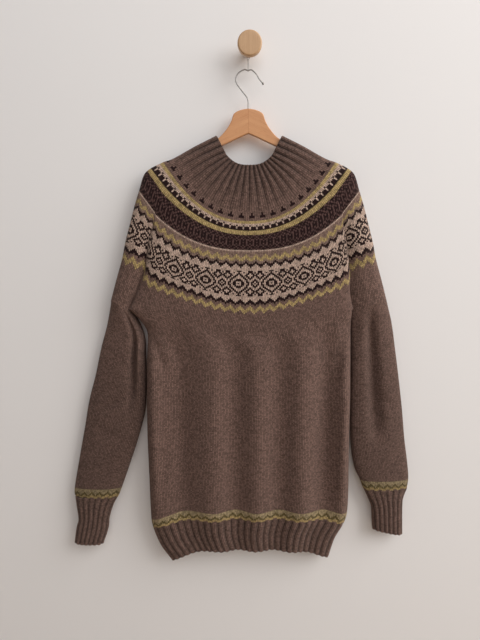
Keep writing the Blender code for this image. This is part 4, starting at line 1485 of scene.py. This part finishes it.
hook_route = smooth_points([(x, FOLD_Y, z) for x, z in HOOK_ROUTE], HOOK_STEPS)
onward = hook_route[-1] - hook_route[-2]
onward /= np.linalg.norm(onward)
bead = [hook_route[-1] + onward * distance for distance, share in HOOK_BEAD]
hook_thickness = [1.0] * len(hook_route) + [share for distance, share in HOOK_BEAD]
hook = wire("hanger_hook_wire", [*hook_route, *bead], HOOK_WIRE, steel, hook_thickness)
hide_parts("hanger_hook")


# Loop. A thin steel wire goes round the knob's stem and under the hook's crook in two strands,
# which come close together between the two.

LOOP_WIRE = 0.0010
LOOP_HALF_WIDTH = 0.0012
LOOP_BEND = 0.9
LOOP_BEND_RISE = 0.7
LOOP_STRAND_RISE = 0.0007
LOOP_WAIST_Z = -0.0185
LOOP_ARCH_DEGREES = range(-110, 111, 10)
PART_GAP = 0.0003
STEM_RADIUS = 0.009

rest_x, rest_z = HOOK_ROUTE[HOOK_REST]
reach = (HOOK_WIRE + LOOP_WIRE) / 2 + PART_GAP
over_stem = STEM_RADIUS + LOOP_WIRE / 2 + PART_GAP
near, far = (
    (rest_x + LOOP_HALF_WIDTH * side, FOLD_Y + reach * side, rest_z + LOOP_STRAND_RISE)
    for side in (-1, 1)
)
bottom = []
for turn in (-LOOP_BEND, -LOOP_BEND / 2, 0.0, LOOP_BEND / 2, LOOP_BEND):
    z = rest_z - reach + reach * (1 - math.cos(turn)) * LOOP_BEND_RISE
    bottom.append((rest_x, FOLD_Y + reach * math.sin(turn), z))
arch = []
for degrees in LOOP_ARCH_DEGREES:
    turn = math.radians(degrees)
    z = over_stem * math.cos(turn) + HANGER_DROP
    arch.append((over_stem * math.sin(turn), FOLD_Y, z))
waist_near, waist_far = (
    (rest_x + LOOP_HALF_WIDTH * side, FOLD_Y, LOOP_WAIST_Z) for side in (-1, 1)
)
loop_points = [*bottom[2:], far, waist_far, *arch[::-1], waist_near, near, *bottom[:2]]
loop = wire("thin_wire_loop", loop_points, LOOP_WIRE, steel)
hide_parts("wire_loop")


# Knob. A turned beech disc with softened edges on a short stem, which is fixed to the wall. It is
# oiled, and its grain runs upright.

KNOB_RADIUS = 0.0240
KNOB_THICKNESS = 0.0130
KNOB_FACE_Y = -0.045
KNOB_EDGE_ROUND = 0.003
KNOB_SIDES = 96
EDGE_STEPS = 6


def turned(name, profile, finish):
    """Solid turned round the knob's axis, from a profile of radii and depths, both ends closed."""
    angles = np.linspace(0, 2 * np.pi, KNOB_SIDES, endpoint=False)
    points = [(0, profile[0][1], 0)]
    for radius, y in profile:
        points += [(radius * math.cos(a), y, radius * math.sin(a)) for a in angles]
    points.append((0, profile[-1][1], 0))
    faces = []
    for i in range(KNOB_SIDES):
        j = (i + 1) % KNOB_SIDES
        faces.append((0, 1 + i, 1 + j))
        for ring in range(len(profile) - 1):
            near_side, far_side = 1 + ring * KNOB_SIDES, 1 + (ring + 1) * KNOB_SIDES
            faces.append((near_side + j, near_side + i, far_side + i, far_side + j))
        last_ring = 1 + (len(profile) - 1) * KNOB_SIDES
        faces.append((len(points) - 1, last_ring + j, last_ring + i))
    mesh = bpy.data.meshes.new(name)
    mesh.from_pydata(points, [], faces)
    return add_piece(name, mesh, finish, HARD_SHARP_DEGREES)


def upright_grain(x, z):
    """Grain that runs up and down the knob's face, with no mitre line."""
    return z, x, z * 0


knob_finish = beech("oiled_beech", linear(206, 170, 130), linear(168, 126, 86), upright_grain)
knob_back_y = KNOB_FACE_Y + KNOB_THICKNESS
rounding = []
for step in range(EDGE_STEPS + 1):
    turn = math.pi / 2 * step / EDGE_STEPS
    rounding.append((math.sin(turn), 1 - math.cos(turn)))
disc_profile = [(KNOB_RADIUS * share, KNOB_FACE_Y) for share in (0.3, 0.6)]
for out, back in rounding:
    radius = KNOB_RADIUS - KNOB_EDGE_ROUND + KNOB_EDGE_ROUND * out
    disc_profile.append((radius, KNOB_FACE_Y + KNOB_EDGE_ROUND * back))
for out, back in rounding[::-1]:
    radius = KNOB_RADIUS - KNOB_EDGE_ROUND + KNOB_EDGE_ROUND * out
    disc_profile.append((radius, knob_back_y - KNOB_EDGE_ROUND * back))
disc = turned("knob_beech_disc", disc_profile, knob_finish)
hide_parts("knob_disc")
stem_front_y = knob_back_y + PART_GAP
stem_profile = [(STEM_RADIUS * share, stem_front_y) for share in (0.5, 1)]
stem_profile += [(STEM_RADIUS, stem_front_y / 2), (STEM_RADIUS, 0.0), (STEM_RADIUS / 2, 0.0)]
stem = turned("knob_beech_stem", stem_profile, knob_finish)
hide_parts("knob_stem")


# Stage. A pale wall that shows only from its front, a pale floor, soft light from the right and
# the camera before the middle of the garment, tipped down a little.

CAMERA_PLACE = (-0.019, -1.013, -0.4092)
CAMERA_TILT_DEGREES = 8
FOCAL_PIXELS = 464
FRAME_PIXELS = 640
SENSOR = 36
WALL_Y = 0.0006
FLOOR_Z = -1.42
WALL_TOP = 2
STAGE_HALF_WIDTH = 4
FLOOR_FRONT_Y = -5
FLOOR_BACK_Y = 4


def stage_plane(name, corners, colour, one_sided):
    """Flat stage surface in a plain colour, with no back or shadow where it is one-sided."""
    finish, tree, shader = new_finish(name)
    feed(shader, {"Base Color": (*colour, 1), "Roughness": 0.9})
    if one_sided:
        clear = added(tree, "ShaderNodeBsdfTransparent", {})
        facing = Value(tree, added(tree, "ShaderNodeNewGeometry", {}).outputs["Backfacing"])
        ray = added(tree, "ShaderNodeLightPath", {})
        hidden = (facing + Value(tree, ray.outputs["Is Shadow Ray"])).held()
        chosen = {0: hidden, 1: shader.outputs[0], 2: clear.outputs[0]}
        shown = added(tree, "ShaderNodeMixShader", chosen)
        feed(tree.nodes["Material Output"], {0: shown.outputs[0]})
    mesh = bpy.data.meshes.new(name)
    mesh.from_pydata(corners, [], [(0, 1, 2, 3)])
    mesh.materials.append(finish)
    plane = bpy.data.objects.new(name, mesh)
    bpy.context.scene.collection.objects.link(plane)


left, right = -STAGE_HALF_WIDTH, STAGE_HALF_WIDTH
wall_corners = [
    (left, WALL_Y, FLOOR_Z),
    (right, WALL_Y, FLOOR_Z),
    (right, WALL_Y, WALL_TOP),
    (left, WALL_Y, WALL_TOP),
]
stage_plane("pale_wall", wall_corners, colour=(0.83, 0.81, 0.80), one_sided=True)
floor_corners = [
    (left, FLOOR_FRONT_Y, FLOOR_Z),
    (right, FLOOR_FRONT_Y, FLOOR_Z),
    (right, FLOOR_BACK_Y, FLOOR_Z),
    (left, FLOOR_BACK_Y, FLOOR_Z),
]
stage_plane("pale_floor", floor_corners, colour=(0.40, 0.32, 0.25), one_sided=False)

camera_data = bpy.data.cameras.new("camera")
camera_data.sensor_width = SENSOR
camera_data.lens = SENSOR * FOCAL_PIXELS / FRAME_PIXELS
camera_data.clip_start = 0.02
camera = bpy.data.objects.new("camera", camera_data)
camera.location = CAMERA_PLACE
camera.rotation_euler = (math.radians(90 - CAMERA_TILT_DEGREES), 0, 0)
bpy.context.scene.collection.objects.link(camera)
bpy.context.scene.camera = camera


def soft_light(name, place, target, size, power, colour):
    """Square area light that faces a target."""
    data = bpy.data.lights.new(name, "AREA")
    data.size = size
    data.energy = power
    data.color = colour
    light = bpy.data.objects.new(name, data)
    light.location = place
    light.rotation_euler = (Vector(target) - Vector(place)).to_track_quat("-Z", "Y").to_euler()
    bpy.context.scene.collection.objects.link(light)


soft_light(
    "window",
    place=(3.2, -1.55, 2.0),
    target=(0, 0, 0.35),
    size=4.0,
    power=228,
    colour=(1.0, 0.99, 0.98),
)
soft_light(
    "room",
    place=(0.4, -2.8, 1.6),
    target=(0, 0, 0.3),
    size=2.6,
    power=34,
    colour=(0.98, 0.98, 1.0),
)
soft_light(
    "behind",
    place=(-1.0, 2.6, 0.8),
    target=(0, 0, -0.6),
    size=2.4,
    power=32,
    colour=(1.0, 0.99, 0.97),
)
world = bpy.data.worlds.new("soft_room_light")
world.use_nodes = True
feed(world.node_tree.nodes["Background"], {"Color": (1.0, 0.99, 0.98, 1), "Strength": 0.20})
bpy.context.scene.world = world
bpy.context.scene.view_settings.view_transform = "Standard"
